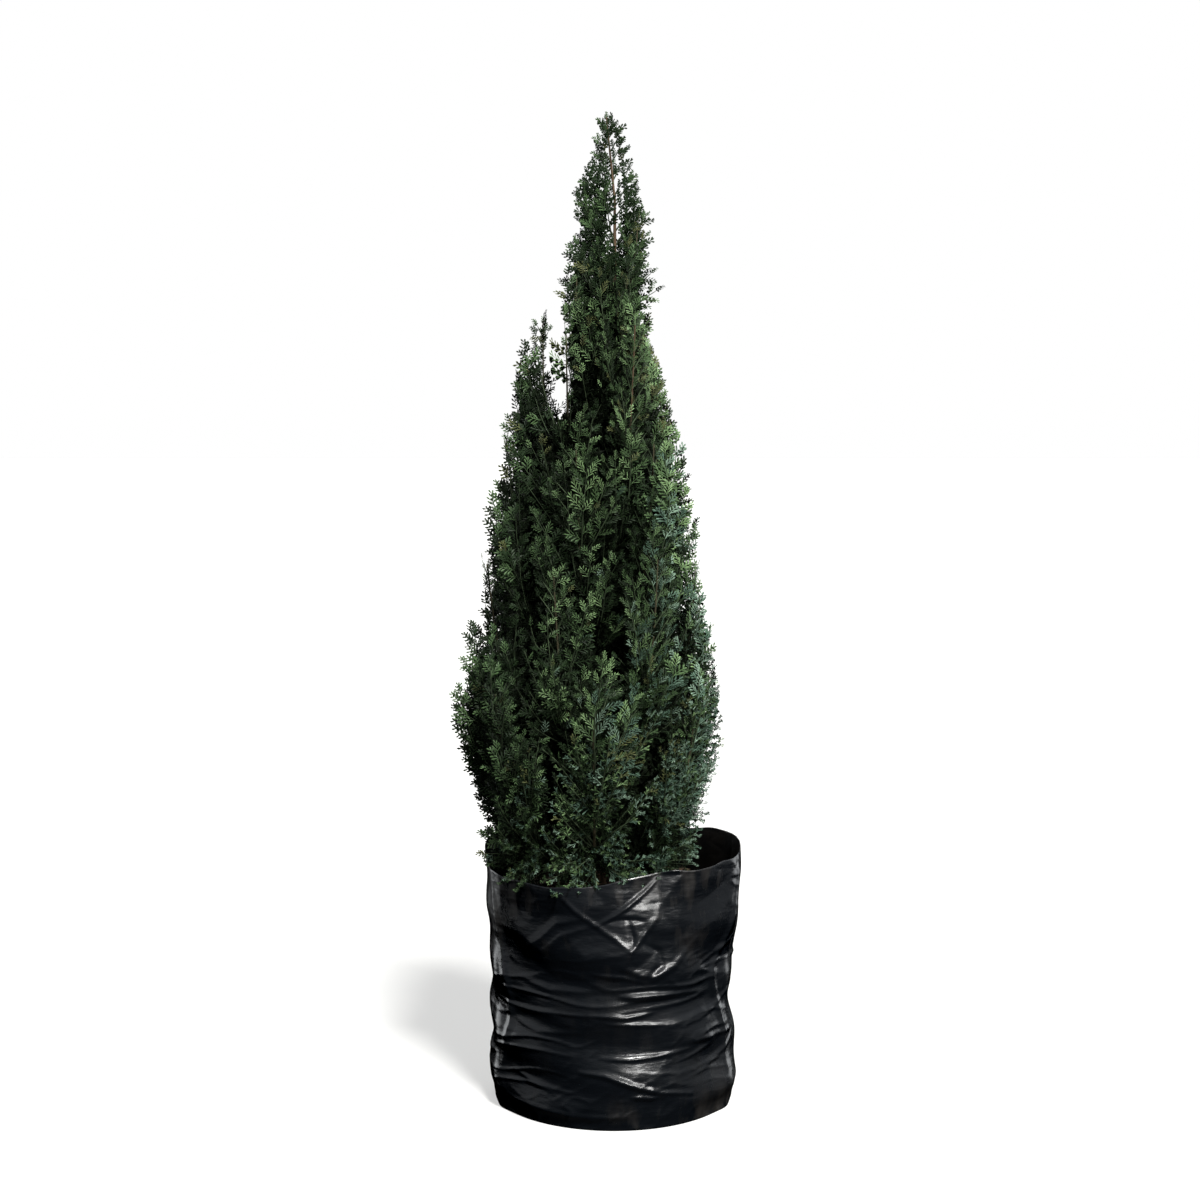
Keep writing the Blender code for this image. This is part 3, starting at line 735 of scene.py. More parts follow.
leaderSettings = {
    "step": 0.0052,
    "heights": (0.990, 1.180),
    "lean": (36.0, 26.0),
    # height of a twig's tip, and how far it stands from the stem to the left and to the right
    "reach": (
        (0.99, 0.046, 0.034), (1.03, 0.044, 0.030), (1.055, 0.036, 0.034), (1.075, 0.034, 0.030),
        (1.090, 0.046, 0.026), (1.110, 0.038, 0.020), (1.130, 0.024, 0.018), (1.150, 0.018, 0.014),
        (1.165, 0.010, 0.010), (1.180, 0.002, 0.003),
    ),
    "plane": 28.0,  # how far, in degrees, its twigs stray from one plane
}
shootSettings = {
    "seed": 21,
    "golden": 137.508,
    "layers": (
        # tips, lowest and highest tip, depth within the outline, longest and shortest
        {"count": 640, "heights": (0.335, 1.035), "depth": (0.85, 1.06), "length": (0.080, 0.165)},
        {"count": 300, "heights": (0.310, 0.540), "depth": (0.84, 1.03), "length": (0.045, 0.090)},
        {"count": 150, "heights": (0.290, 0.325), "depth": (0.92, 1.04), "length": (0.040, 0.065)},
        {"count": 70, "heights": (0.800, 0.990), "depth": (0.75, 1.00), "length": (0.060, 0.110)},
        # the last layer is the inner shoots, whose sprays are all painted shade filling the crown
        {"count": 600, "heights": (0.300, 0.960), "depth": (0.30, 0.72), "length": (0.060, 0.100)},
    ),
    # below this height the skirt spreads and draws in: bearing from the front, and share of the outline
    "brim": 0.350,
    "brimShares": (
        (-180, 1.00), (-100, 0.83), (-72, 0.92), (-50, 1.08), (-30, 1.11), (0, 1.13), (35, 1.07),
        (60, 0.92), (100, 0.86), (140, 0.95), (180, 1.00),
    ),
    # a wedge of sky beside the spire: height, and its left and right edges
    "skyWedge": (
        (0.828, -0.0675, -0.0665), (0.850, -0.0725, -0.0620), (0.885, -0.0745, -0.0580),
        (0.905, -0.0745, -0.0640), (0.930, -0.0745, -0.0590), (0.945, -0.0745, -0.0640),
        (0.975, -0.0900, -0.0660),
    ),
    "hollow": 0.20,  # how far the outline draws in between its plumes
    "rise": (0.84, 0.975),
    "radii": (0.0010, 0.0004),
    "jitter": (0.012, 9),  # of a tip's height, and of its bearing in degrees
    "arch": (-0.02, 0.22),
    "reachable": 3.4,  # a shoot's tip is nearer its root than this many of its lengths
}
spraySettings = {
    # step along the twig, length, lean at the twig's foot and at its tip, and the range of tilt
    "kinds": {
        "comb": (0.0073, 0.0265, (62, 34), (18, 46)),
        "crest": (0.0074, 0.0240, (58, 30), (0, 40)),
        "fan": (0.0076, 0.0330, (44, 28), (0, 30)),
        "heap": (0.0082, 0.0400, (60, 30), (-90, 90)),
        "tuft": (0.0057, 0.0200, (58, 30), (-20, 60)),
        "wand": (0.0070, 0.0310, (36, 26), (-20, 25)),
    },
    "jitter": (7, 0.15),  # of its lean in degrees, and of how far it points off the twig's plane
    "sizes": (0.86, 1.12),
    "tapers": (0.75, 0.52),  # size at the twig's tip, of a crest and of the others
    # the under spray is painted shade beneath each lit spray
    "under": 0.82,  # size of the dark spray under each
    "each": 6000,  # sprays in one piece
    "skyMargin": 0.010,  # of the inner shoots, beside the wedge
    "twigMargin": 0.003,
}
colourSettings = {
    # below the first depth a spray is painted shade, and below the second mostly deep or shade, painted shade
    # as well
    "depths": (0.75, 0.89),  # shade, then deep, and beyond them the colours of young leaves
    "top": (0.86, 1.00, 0.98),  # from where to where the crown thins, and where the leader starts
    "olive": ((0.035, -0.13, 0.45), 0.07),  # the middle and radius of an olive patch
}


def curvePoint(path, share):
    first, bend, last = path
    return first * (1 - share) ** 2 + bend * (2 * share * (1 - share)) + last * share**2


def curveHeading(path, share):
    first, bend, last = path
    return ((bend - first) * (1 - share) + (last - bend) * share).normalized()


def twigPath(root, tip, outward, arch):
    return root, root.lerp(tip, 0.5) + outward * arch, tip


def limbSamples(orders):
    # points along the limbs that shoots may leave from
    paths = [limbPath(order) for order in orders]
    places = [along(path, 0.12 + 0.83 * step / 24) for path in paths for step in range(25)]
    return places + [trunkPoint(blend(0.30, trunkSettings["tip"], step / 29)) for step in range(30)]


def brimShare(height, bearing):
    share = float(fromTable(shootSettings["brimShares"], wrapped(bearing))[0])
    return blend(1.0, share, smoothStep(shootSettings["brim"] - height, 0.0, 0.04))


def inSkyWedge(spot, margin=0.0):
    wedge = shootSettings["skyWedge"]
    if not wedge[0][0] - margin < spot.z < wedge[-1][0] + margin:
        return False
    ragged = 0.004 * noise.noise(spot * 180) + 0.004 * noise.noise(spot * 60)
    left, right = fromTable(wedge, spot.z)
    return left - margin < spot.x + ragged < right + margin


def crossesSky(path):
    return any(inSkyWedge(curvePoint(path, step / 5), spraySettings["twigMargin"]) for step in range(1, 6))


def shootPaths(orders, draw):
    settings = shootSettings
    places = limbSamples(orders)
    grid = np.array([tuple(place) for place in places])
    for depth, layer in enumerate(settings["layers"]):
        heights = np.linspace(*layer["heights"], 200)
        share = np.cumsum([crownRadius(height) for height in heights])
        for number in range(layer["count"]):
            height = float(np.interp((number + 0.5) / layer["count"], share / share[-1], heights))
            height += shake(draw, settings["jitter"][0])
            radius = crownRadius(height)
            turn = settings["golden"] * number + depth * 47 + shake(draw, settings["jitter"][1])
            turn = math.radians(turn)
            outward = outwardAt(turn)
            hollow = noise.noise(Vector((outward.x * 3.0, outward.y * 3.0, height * 12 + depth)))
            reach = draw.uniform(*layer["depth"])
            if layer["depth"][1] > 0.8:
                reach -= settings["hollow"] * max(0.0, hollow * 2)
            reach *= radius * brimShare(height, math.degrees(turn) + 90)
            tip = crownMiddle(height) + outward * reach
            rise = draw.uniform(*settings["rise"])
            length = blend(*layer["length"], draw.random()) * min(1.0, 0.4 + radius / 0.12)
            ideal = tip - (up * rise + outward * math.sqrt(1 - rise * rise)) * length
            away = np.linalg.norm(grid - np.array(tuple(ideal)), axis=1)
            # a limb's point above the tip is out of reach, and low shoots may hang a little
            away += np.where(grid[:, 2] > tip.z - (0.2 * length if tip.z > 0.36 else -0.01), 1.0, 0.0)
            root = places[int(away.argmin())]
            if (tip - root).length < settings["reachable"] * length and not inSkyWedge(tip):
                yield root, tip, outward, draw.uniform(*settings["arch"]) * length, depth


def outsideOf(spot):
    # how far out in the crown a point lies, and how far to the right, each as a share of its radius
    flat = spot - crownMiddle(spot.z)
    radius = max(0.02, crownRadius(spot.z))
    return flat.to_2d().length / radius, flat.x / radius


def sprayFamily(spot, draw):
    _, side = outsideOf(spot)
    if spot.z > 1.0:
        return "wand"
    if draw.random() < smoothStep(0.52 + 0.10 * side - spot.z, 0.0, 0.16):
        return "tuft"
    fine = 0.5 + 0.9 * side - 0.3 * (spot.y > 0)
    return "fan" if draw.random() < fine else "comb"


def sprayColour(spot, kind, tip, draw):
    # the colour of a spray, by where it grows: shade and deep are painted shade, given deeper in the crown,
    # less where it thins at the top, and more on its left side
    depth, side = outsideOf(spot)
    chance = draw.random()
    shade, deep = colourSettings["depths"]
    thin, bare, leader = colourSettings["top"]
    lit = depth + shake(draw, 0.09) + 0.7 * smoothStep(spot.z, thin, bare)
    if lit < shade:
        return "shade"
    # more painted shade on the crown's left side, away from the light
    if lit < deep + 0.10 * max(0.0, -side) * (spot.z < leader):
        return "deep" if chance < 0.6 else "shade"
    if spot.z > leader:
        return "deep" if chance < 0.86 - 0.25 * tip else ("mid" if chance < 0.94 else "olive")
    middle, radius = colourSettings["olive"]
    patch = max(0.0, 1 - (spot - Vector(middle)).length / radius)
    if draw.random() < 0.02 + 0.10 * smoothStep(spot.z, 0.70, 0.90) + 0.30 * patch:
        return "olive"
    if draw.random() < 0.30 + 0.50 * side * (spot.z < 0.8) + 1.5 * (0.46 - spot.z):
        return "pale" if chance < 0.22 + 0.25 * tip else "blue"
    # the spire and the crown's left side are mostly deep, as painted shade
    if kind == "spire" or side < -0.4 - 0.5 * (spot.z > 0.8):
        return "deep" if chance < 0.75 - 0.35 * tip else "mid"
    if chance < 0.14 + 0.30 * tip - 0.12 * max(0.0, side):
        return "fresh"
    return "mid" if chance < 0.82 else "deep"


def variantOf(family, draw):
    count = fingerSettings["variants"]
    return sorted(sprayShapes).index(family) * count + draw.randrange(count)


def growSprays(path, kind, face, start, draw, spots):
    # two rows of sprays along a twig from its start to its end, and one at its end
    family = "heap" if kind == "inner" else sprayFamily(curvePoint(path, 0.8), draw)
    if kind == "leader_top":
        family = "wand"
    atSide = kind == "shoot" and family != "tuft" and abs(outsideOf(path[2])[1]) > draw.uniform(0.55, 0.85)
    if kind == "spire" or atSide:
        family = "crest"
    step, size, leans, tilts = spraySettings["kinds"][family]
    leanJitter, offPlane = spraySettings["jitter"]
    length = lengthOf(path, curvePoint, 6)
    count = max(3, round(length * (1.0 - start) / step))
    tall = size * draw.uniform(0.88, 1.12) * min(1.0, 0.55 + length * 6)
    for number in range(count + 1):
        part = number / count
        share = blend(start, 1.0, part)
        place, ahead = curvePoint(path, share), curveHeading(path, share)
        normal = squareTo(ahead, face)
        hand = 0 if number == count else (1 if number % 2 else -1)
        lean = math.radians(blend(*leans, part) + shake(draw, leanJitter)) * hand
        tilt = -math.radians(draw.uniform(*tilts)) * hand
        pointing = ahead * math.cos(lean) + ahead.cross(normal) * math.sin(lean)
        pointing = (pointing + normal * shake(draw, offPlane)).normalized()
        normal = Matrix.Rotation(tilt, 3, pointing) @ squareTo(pointing, normal)
        taper = blend(1.0, spraySettings["tapers"][family != "crest"], part**1.4)
        size = tall * min(1.0, 0.55 + 1.6 * part) * taper * draw.uniform(*spraySettings["sizes"])
        turned = Matrix((pointing.cross(normal), pointing, normal)).transposed().to_euler()
        margin = spraySettings["skyMargin"] if kind == "inner" else 0.0
        if inSkyWedge(place, margin) or inSkyWedge(place + pointing * size, margin):
            continue
        # the inner shoots' sprays are all painted shade
        colour = "shade" if kind == "inner" else sprayColour(place + pointing * size, kind, part, draw)
        spots.setdefault(colour, []).append((place, turned, size, variantOf(family, draw)))
        if colour != "shade":
            # a dark spray under each lit one, as painted shade beneath it
            size *= spraySettings["under"]
            variant = variantOf("under", draw)
            below = "shade" if draw.random() < 0.85 and place.z < 1.0 else "deep"
            spots.setdefault(below, []).append((place - normal * (size * 0.12), turned, size, variant))


def growPlume(order, path, draw, spots, shoots):
    # the end of a limb, as one great feather that faces outward
    settings = {**plumeSettings, **plumeSettings.get(order["kind"], {})}
    first = settings["from"] if order["bough"] else settings["bareFrom"]
    count = max(5, round(lengthOf(path, along, 12) * (1 - first) / settings["step"]))
    facing = Vector(settings["facing"]) if "facing" in settings else outwardOf(along(path, 0.8))
    for number in range(count):
        part = number / count
        root = along(path, blend(first, 0.98, part))
        stem = (heading(path, blend(first, 0.98, part)) + up * 0.5).normalized()
        face = squareTo(stem, facing)
        side = stem.cross(face) * (1 if number % 2 else -1)
        away = (side + face * draw.uniform(*settings["side"])).normalized()
        lean = math.radians(blend(*settings["lean"], part) + shake(draw, settings["leanJitter"]))
        direction = stem * math.cos(lean) + away * math.sin(lean)
        reach = blend(settings["longest"], settings["shortest"], part) * draw.uniform(*settings["lengths"])
        reach *= min(1.0, 0.45 + 4.5 * crownRadius(root.z))
        twig = twigPath(root, root + direction * reach, side, settings["arch"] * reach)
        if not crossesSky(twig):
            growSprays(twig, order["kind"], squareTo(direction, face), 0.12, draw, spots)
            shoots.append(twig)
    top = [along(path, share) for share in settings["top"]]
    ahead = heading(path, settings["top"][1])
    growSprays(top, order["kind"], squareTo(ahead, outwardOf(path[3])), 0.1, draw, spots)


def growLeader(draw, spots, shoots):
    # twigs of the stem's own top, in two rows that are seen face on from the front
    settings = leaderSettings
    low, high = settings["heights"]
    stemTip, drift = trunkSettings["tip"], limbSettings["leaderDrift"]
    count = round((high - low) / settings["step"])
    for number in range(count):
        part, hand = number / count, 1 if number % 2 else -1
        tipLevel = blend(low, high, part)
        left, right = fromTable(settings["reach"], tipLevel)
        across = float(right if hand > 0 else left) * draw.uniform(0.80, 1.0)
        lean = math.radians(blend(*settings["lean"], part) + shake(draw, 4))
        height = tipLevel - max(0.012, across / math.tan(lean))
        root = trunkPoint(min(height, stemTip))
        if height > stemTip:
            above = (height - stemTip) / (limbSettings["leaderTop"] - stemTip)
            root += up * (height - stemTip) + Vector((drift * above, 0, 0))
        plane = math.radians(draw.uniform(-1, 1) * settings["plane"] + (70 if number % 7 == 6 else 0))
        away = outwardAt(plane) * hand
        direction = up * math.cos(lean) + away * math.sin(lean)
        reach = across / math.sin(lean)
        twig = twigPath(root, root + direction * reach, away, 0.05 * reach)
        if not crossesSky(twig):
            growSprays(twig, "leader_top", squareTo(direction, Vector((0.2, -1, 0))), 0.30, draw, spots)
            shoots.append(twig)
    tip = trunkPoint(stemTip) + Vector((drift, 0, 0))
    tip.z = limbSettings["leaderTop"]
    growSprays([tip - up * below for below in (0.03, 0.015, 0.004)], "leader_top", front, 0.0, draw, spots)


def growCrown():
    draw = random.Random(shootSettings["seed"])
    spots, stems, shoots = {}, {"warm": [], "dark": []}, []
    orders = limbOrders()
    for order in orders:
        path = limbPath(order)
        foot, bough, middle, tip = limbSettings["radii"]
        if not order["bough"]:
            foot, middle = limbSettings["stemRadii"]
            foot = bough = foot if "leaves" in order else trunkSettings["tipRadius"]
        radii = ((0.0, foot), (max(0.02, order["bough"]), bough), (0.6, middle), (1.0, tip))
        line = [(along(path, k / 30), float(fromTable(radii, k / 30)[0])) for k in range(31)]
        stems["warm" if order["kind"] in ("plume", "leader_top") else "dark"].append(line)
        if "leaves" in order:
            growPlume(order, path, draw, spots, shoots)
    growLeader(draw, spots, shoots)
    for root, tip, outward, arch, depth in shootPaths(orders, draw):
        twig = twigPath(root, tip, outward, arch)
        if crossesSky(twig):
            continue
        # shoots at the sides of the crown turn their faces more to the front or the back
        turn = Matrix.Rotation(draw.gauss(0, 0.45), 3, "Z")
        flat = Vector((0, math.copysign(abs(outward.x), outward.y - 0.2), 0))
        face = squareTo(curveHeading(twig, 0.6), turn @ outward.lerp(flat, 0.8 * abs(outward.x)))
        kind = "inner" if depth == len(shootSettings["layers"]) - 1 else "shoot"
        growSprays(twig, kind, face, 0.18, draw, spots)
        shoots.append(twig)
    thick, thin = shootSettings["radii"]
    lines = [[(curvePoint(path, k / 5), blend(thick, thin, k / 5)) for k in range(6)] for path in shoots]
    return spots, stems, lines


# sides, relief and grain of the tubes
tubeSettings = {"limb": (8, 0.0006, 260.0), "twig": (4, 0.0002, 400.0)}
# shade is painted shade; deep is a dark green given as painted shade deep in the crown, under lit sprays and
# on the left, and to most of the leader
leafColours = {
    "shade": (0.005, 0.008, 0.004),
    "deep": (0.018, 0.034, 0.014),
    "mid": (0.069, 0.120, 0.050),
    "fresh": (0.162, 0.258, 0.114),
    "blue": (0.075, 0.132, 0.092),
    "pale": (0.162, 0.244, 0.178),
    "olive": (0.100, 0.115, 0.046),
}
massNames = [name for name in nodeNames if name.startswith("foliage_")]
boughNames = [name for name in nodeNames if name.startswith("bough_") and name != "bough_plume"]


def keepPiece(piece, slot, *replaced):
    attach(piece, "root")
    if replaced:
        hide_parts(*replaced)


def dropKinds(kinds):
    for kind in list(kinds.objects):
        bpy.data.objects.remove(kind)
    bpy.data.collections.remove(kinds)


def growTubes(name, lines, kind, finish, *replaced):
    values = dict(zip(("Sides", "Relief", "Grain"), tubeSettings[kind]), Finish=finish)
    keepPiece(grow(name, pathsObject("paths", lines), tubesOnPaths, values), "bark", *replaced)


def makeFoliage():
    spots, stems, shoots = growCrown()
    growTubes("warmBark", stems["warm"], "limb", barkMaterial, "bough_plume")
    growTubes("limbBark", stems["dark"], "limb", woodFinish("greenBark"), *boughNames)
    growTubes("greenTwigs", shoots, "twig", woodFinish("greenTwig"))
    kinds, most = makeSprayKinds(), spraySettings["each"]
    total = 0
    for colour, found in spots.items():
        title, shown = colour.capitalize(), leafColours[colour]
        look = "shadeLeaf" if colour == "shade" else "leaf"
        dark, pale = tinted(shown, tints["leafDark"]), tinted(shown, tints["leafPale"])
        material = grainFinish(f"leaf{title}", look, dark, pale)
        for number, first in enumerate(range(0, len(found), most)):
            base = pointsObject("spots", found[first:first + most])
            values = {"Sprays": kinds, "Finish": material}
            piece = grow(f"sprays{title}_{number + 1}", base, spraysOnPoints, values)
            keepPiece(piece, "foliage", *massNames)
            total += len(piece.data.polygons)
    dropKinds(kinds)
    print("foliage done:", total, "triangles,", len(shoots), "shoots")


makeFoliage()

# The bag's film is slack: broad dents, rings of creases, and sharp folds where it was gathered.
filmSettings = {
    "columns": 420,
    "rows": 170,
    "linedRows": 50,
    "innerRings": ((0.68, 0.010), (0.50, 0.014), (0.30, 0.014), (0.10, 0.010)),
    "thickness": 0.0007,
    "foot": 0.1475,
    "belly": (0.030, 0.1525),
    "waist": (0.140, 0.1510),
    "rim": (0.300, 0.1580),
    "dent": (0.0065, 0.075),
    "gusset": (26.0, 7.0, 0.0030, 0.0015),
    "sag": (0.0016, 0.35, ((1.0, 3, 95), (0.7, 5, -61))),
    # bearing in degrees from the front towards the right, and the rim's height there
    "rimHeights": (
        (-180, 0.300), (-140, 0.303), (-110, 0.309), (-90, 0.308), (-66, 0.290), (-45, 0.289), (-8, 0.288),
        (12, 0.303), (30, 0.306), (60, 0.307), (112, 0.309), (140, 0.302), (180, 0.300),
    ),
    # creases: height and half width in mm, then the points it runs through (bearing in degrees, height in mm)
    "creases": (
        (1.4, 4, ((-28, 291), (-17, 262), (-8, 245), (0, 231), (7, 216))),
        (2.0, 4, ((21, 299), (14, 283), (5, 265), (-3, 252), (-9, 244))),
        (1.2, 5, ((20, 268), (19, 254), (14, 237), (10, 223), (7, 215))),
        (-1.6, 5, ((-2, 250), (5, 252), (13, 250))),
        (-1.6, 4, ((6, 250), (8, 232), (8, 220))),
        (2.0, 7, ((7, 216), (4, 196), (11, 186), (18, 183), (27, 195), (38, 222))),
        (-1.8, 6, ((13, 223), (20, 212), (21, 197), (14, 181))),
        (3.8, 6, ((3, 161), (9, 160), (18, 161), (30, 158))),
        (1.9, 4, ((-9, 187), (-2, 185), (4, 184), (14, 177))),
        (2.2, 4, ((-9, 139), (5, 136), (17, 140))),
        (1.8, 4, ((-3, 129), (10, 127), (25, 124))),
        (2.4, 4, ((-6, 88), (7, 86), (20, 88), (35, 91))),
        (2.8, 5, ((-15, 71), (-4, 68), (9, 55), (20, 45), (36, 38))),
        (2.4, 4, ((8, 41), (19, 39))),
        (2.0, 9, ((-44, 205), (-33, 226), (-25, 246), (-14, 252))),
        (1.7, 9, ((-33, 209), (-23, 232), (-8, 246))),
        (2.6, 9, ((-68, 292), (-64, 250), (-60, 205), (-55, 157), (-54, 112), (-59, 60))),
        (2.8, 8, ((70, 306), (66, 260), (60, 215), (51, 172), (56, 135), (61, 100), (63, 50))),
        (1.8, 5, ((36, 99), (51, 99), (74, 95))),
        (1.8, 5, ((40, 188), (55, 200), (73, 214))),
        (1.5, 5, ((32, 120), (48, 128), (70, 150))),
        (1.5, 5, ((42, 60), (58, 72), (76, 92))),
        (2.0, 6, ((-56, 23), (-36, 20), (-14, 16), (6, 17))),
        (1.6, 5, ((-52, 60), (-38, 48), (-20, 44))),
        (1.4, 6, ((-50, 120), (-36, 112), (-16, 116))),
        (1.6, 7, ((-46, 172), (-30, 164), (-8, 166))),
        (2.4, 8, ((112, 300), (116, 240), (121, 180), (114, 120), (116, 60))),
        (2.4, 8, ((-110, 300), (-116, 240), (-112, 180), (-119, 120), (-116, 60))),
        (3.0, 9, ((150, 296), (161, 258), (172, 230), (184, 214))),
        (2.6, 8, ((-146, 294), (-160, 262), (-176, 236))),
        (2.2, 5, ((140, 150), (160, 146), (186, 152), (205, 150))),
        (2.0, 5, ((130, 96), (158, 84), (190, 88))),
        (2.0, 5, ((-150, 118), (-128, 108), (-104, 114))),
        (2.0, 6, ((76, 182), (92, 176), (110, 184))),
        (2.0, 6, ((-100, 70), (-84, 62), (-66, 70))),
    ),
    # corners of the flat panels where the front was pushed in: bearing, height and offset in mm
    "panels": (
        (-30, 290, 0), (-27, 286, 1), (-17, 262, 0), (-8, 245, -4), (0, 231, 0), (7, 214, 4),
        (-10, 292, -8), (4, 300, -10), (-4, 270, -7), (20, 303, -14), (12, 281, -12), (5, 265, -9),
        (20, 264, -7), (15, 240, -3), (31, 302, -4), (31, 264, -2), (27, 238, -1), (30, 222, 0),
        (18, 212, -1), (10, 196, 0), (20, 183, 0), (-20, 230, 1), (-36, 250, 0), (-33, 209, 0),
        (-12, 205, 2), (-46, 228, 2), (-44, 203, -2), (-58, 262, 0), (38, 262, -1), (48, 240, 2),
        (56, 282, -2), (40, 296, 1), (60, 205, 0), (46, 186, -2), (34, 174, 1), (0, 178, -1),
        (-26, 176, -1),
    ),
    "panelNet": (24, 5, 2.6, 8),  # the other corners: round the bag, up it, their offset in mm, and the seed
    "panelHeights": (152, 150, 120, 330),  # lowest corner, height of the net, flat rows below and above
    "panelRadius": 153,
    "dents": (0.0016, 11.0),
    "rings": (0.0022, 8.0, 58.0),
    "crinkles": (0.0008, 34.0, 62.0),
    "pleats": (0.0012, 26.0),
    "ripple": 0.0030,
    "flatFoot": 0.0015,  # below this height the film keeps its solid's form
    "floorRings": (0.8, 0.5, 0.2),
}


def smoothSteps(values, low, high):
    share = np.clip((values - low) / (high - low), 0.0, 1.0)
    return share * share * (3 - 2 * share)


def ringOf(angles, radius, heights):
    return np.stack([np.cos(angles) * radius, np.sin(angles) * radius, heights + angles * 0], axis=1)


def bearingsOf(angles):
    return wrapped(np.degrees(angles) + 90)


def noiseOn(spots, seed):
    return np.array([noise.noise(Vector(spot) + Vector((seed, 2 * seed, 3 * seed))) for spot in spots])


def ridgesOn(spots, along, across, seed, sharpness):
    return np.clip((1 - np.abs(noiseOn(spots * (along, along, across), seed)) * sharpness) ** 3, -0.2, 1.0)


def filmBody(angles, heights):
    # the bag's own form, as its solid has it
    settings = filmSettings
    bellyHeight, belly = settings["belly"]
    waistHeight, waist = settings["waist"]
    rimHeight, rim = settings["rim"]
    aboveBelly = smoothSteps(heights, 0.0, bellyHeight)
    aboveWaist = smoothSteps(heights, waistHeight, rimHeight)
    radius = blend(settings["foot"], belly, aboveBelly)
    radius = radius + (waist - belly) * smoothSteps(heights, bellyHeight, waistHeight)
    radius = radius + (rim - waist) * aboveWaist
    depth, halfHeight = settings["dent"]
    inDent = np.exp(-(((heights - waistHeight) / halfHeight) ** 2))
    radius -= depth * np.maximum(0.0, np.cos(angles)) ** 2 * inDent
    foldAt, foldWidth, fold, flat = settings["gusset"]
    turn = np.degrees(np.arccos(np.clip(np.abs(np.cos(angles)), 0.0, 1.0)))
    folded = fold * np.exp(-(((turn - foldAt) / foldWidth) ** 2))
    radius += folded - flat * smoothSteps(foldAt - turn, 0.0, foldAt)
    depth, atRim, waves = settings["sag"]
    sag = sum(share * np.sin(lobes * angles + pitch * heights) for share, lobes, pitch in waves)
    return radius + depth * sag * blend(atRim, 1.0, 1 - aboveWaist) * aboveBelly


def creaseRelief(bearings, heights):
    # every crease is a tent with a sharp edge, that runs out at its two ends
    relief = np.zeros_like(bearings)
    radius = filmSettings["waist"][1]
    for height, halfWidth, points in filmSettings["creases"]:
        nearest = np.full_like(bearings, np.inf)
        ends = np.ones_like(bearings)
        for index, (first, last) in enumerate(zip(points, points[1:])):
            across = np.radians(wrapped(bearings - first[0])) * radius
            above = heights - first[1] / 1000
            runX, runZ = math.radians(last[0] - first[0]) * radius, (last[1] - first[1]) / 1000
            share = np.clip((across * runX + above * runZ) / (runX**2 + runZ**2), 0.0, 1.0)
            away = np.hypot(across - runX * share, above - runZ * share)
            ends = np.where(away < nearest, (index + share) / (len(points) - 1), ends)
            nearest = np.minimum(nearest, away)
        fade = np.sin(np.pi * np.clip(ends, 0.04, 0.96)) ** 0.5
        tent = np.maximum(0.0, 1 - nearest / (halfWidth / 1000 * (0.6 + 0.5 * fade)))
        relief += height / 1000 * fade * tent**1.15
    return relief


def panelCorners():
    # the corners given for the front, a loose net of others round the rest, and flat rows below and above
    columns, levels, most, seed = filmSettings["panelNet"]
    lowest, tall, below, above = filmSettings["panelHeights"]
    draw = random.Random(seed)
    corners = list(filmSettings["panels"])
    for step in range(columns):
        for level in range(levels):
            bearing = -180 + 360 * (step + 0.5 * (level % 2) + shake(draw, 0.3)) / columns
            height = lowest + tall * (level + shake(draw, 0.25)) / (levels - 1)
            if not -62 < bearing < 64:
                side = 0.4 if abs(abs(bearing) - 90) < 22 else 1
                corners.append((bearing, height, shake(draw, most) * side))
    corners += [(bearing, height, 0) for height in (below, above) for bearing in range(-180, 180, 12)]
    return [(b + turn, h, o) for b, h, o in corners for turn in (-360, 0, 360) if abs(b + turn) < 215]


def panelRelief(bearings, heights):
    # flat panels with straight folds between them
    radius, corners = filmSettings["panelRadius"], panelCorners()
    flat = [Vector((math.radians(bearing) * radius, height)) for bearing, height, _ in corners]
    spots, _, panels, sources, _, _ = delaunay_2d_cdt(flat, [], [], 0, 1e-6)
    relief = np.zeros_like(bearings)
    across, above = np.radians(bearings) * radius, heights * 1000
    for panel in panels:
        (x0, y0), (x1, y1), (x2, y2) = [spots[corner] for corner in panel]
        offsets = [corners[sources[corner][0]][2] for corner in panel]
        area = (x1 - x0) * (y2 - y0) - (x2 - x0) * (y1 - y0)
        second = ((across - x0) * (y2 - y0) - (x2 - x0) * (above - y0)) / area
        third = ((x1 - x0) * (above - y0) - (across - x0) * (y1 - y0)) / area
        inside = (second >= 0) & (third >= 0) & (second + third <= 1)
        level = offsets[0] + second * (offsets[1] - offsets[0]) + third * (offsets[2] - offsets[0])
        relief = np.where(inside, level / 1000, relief)
    return relief


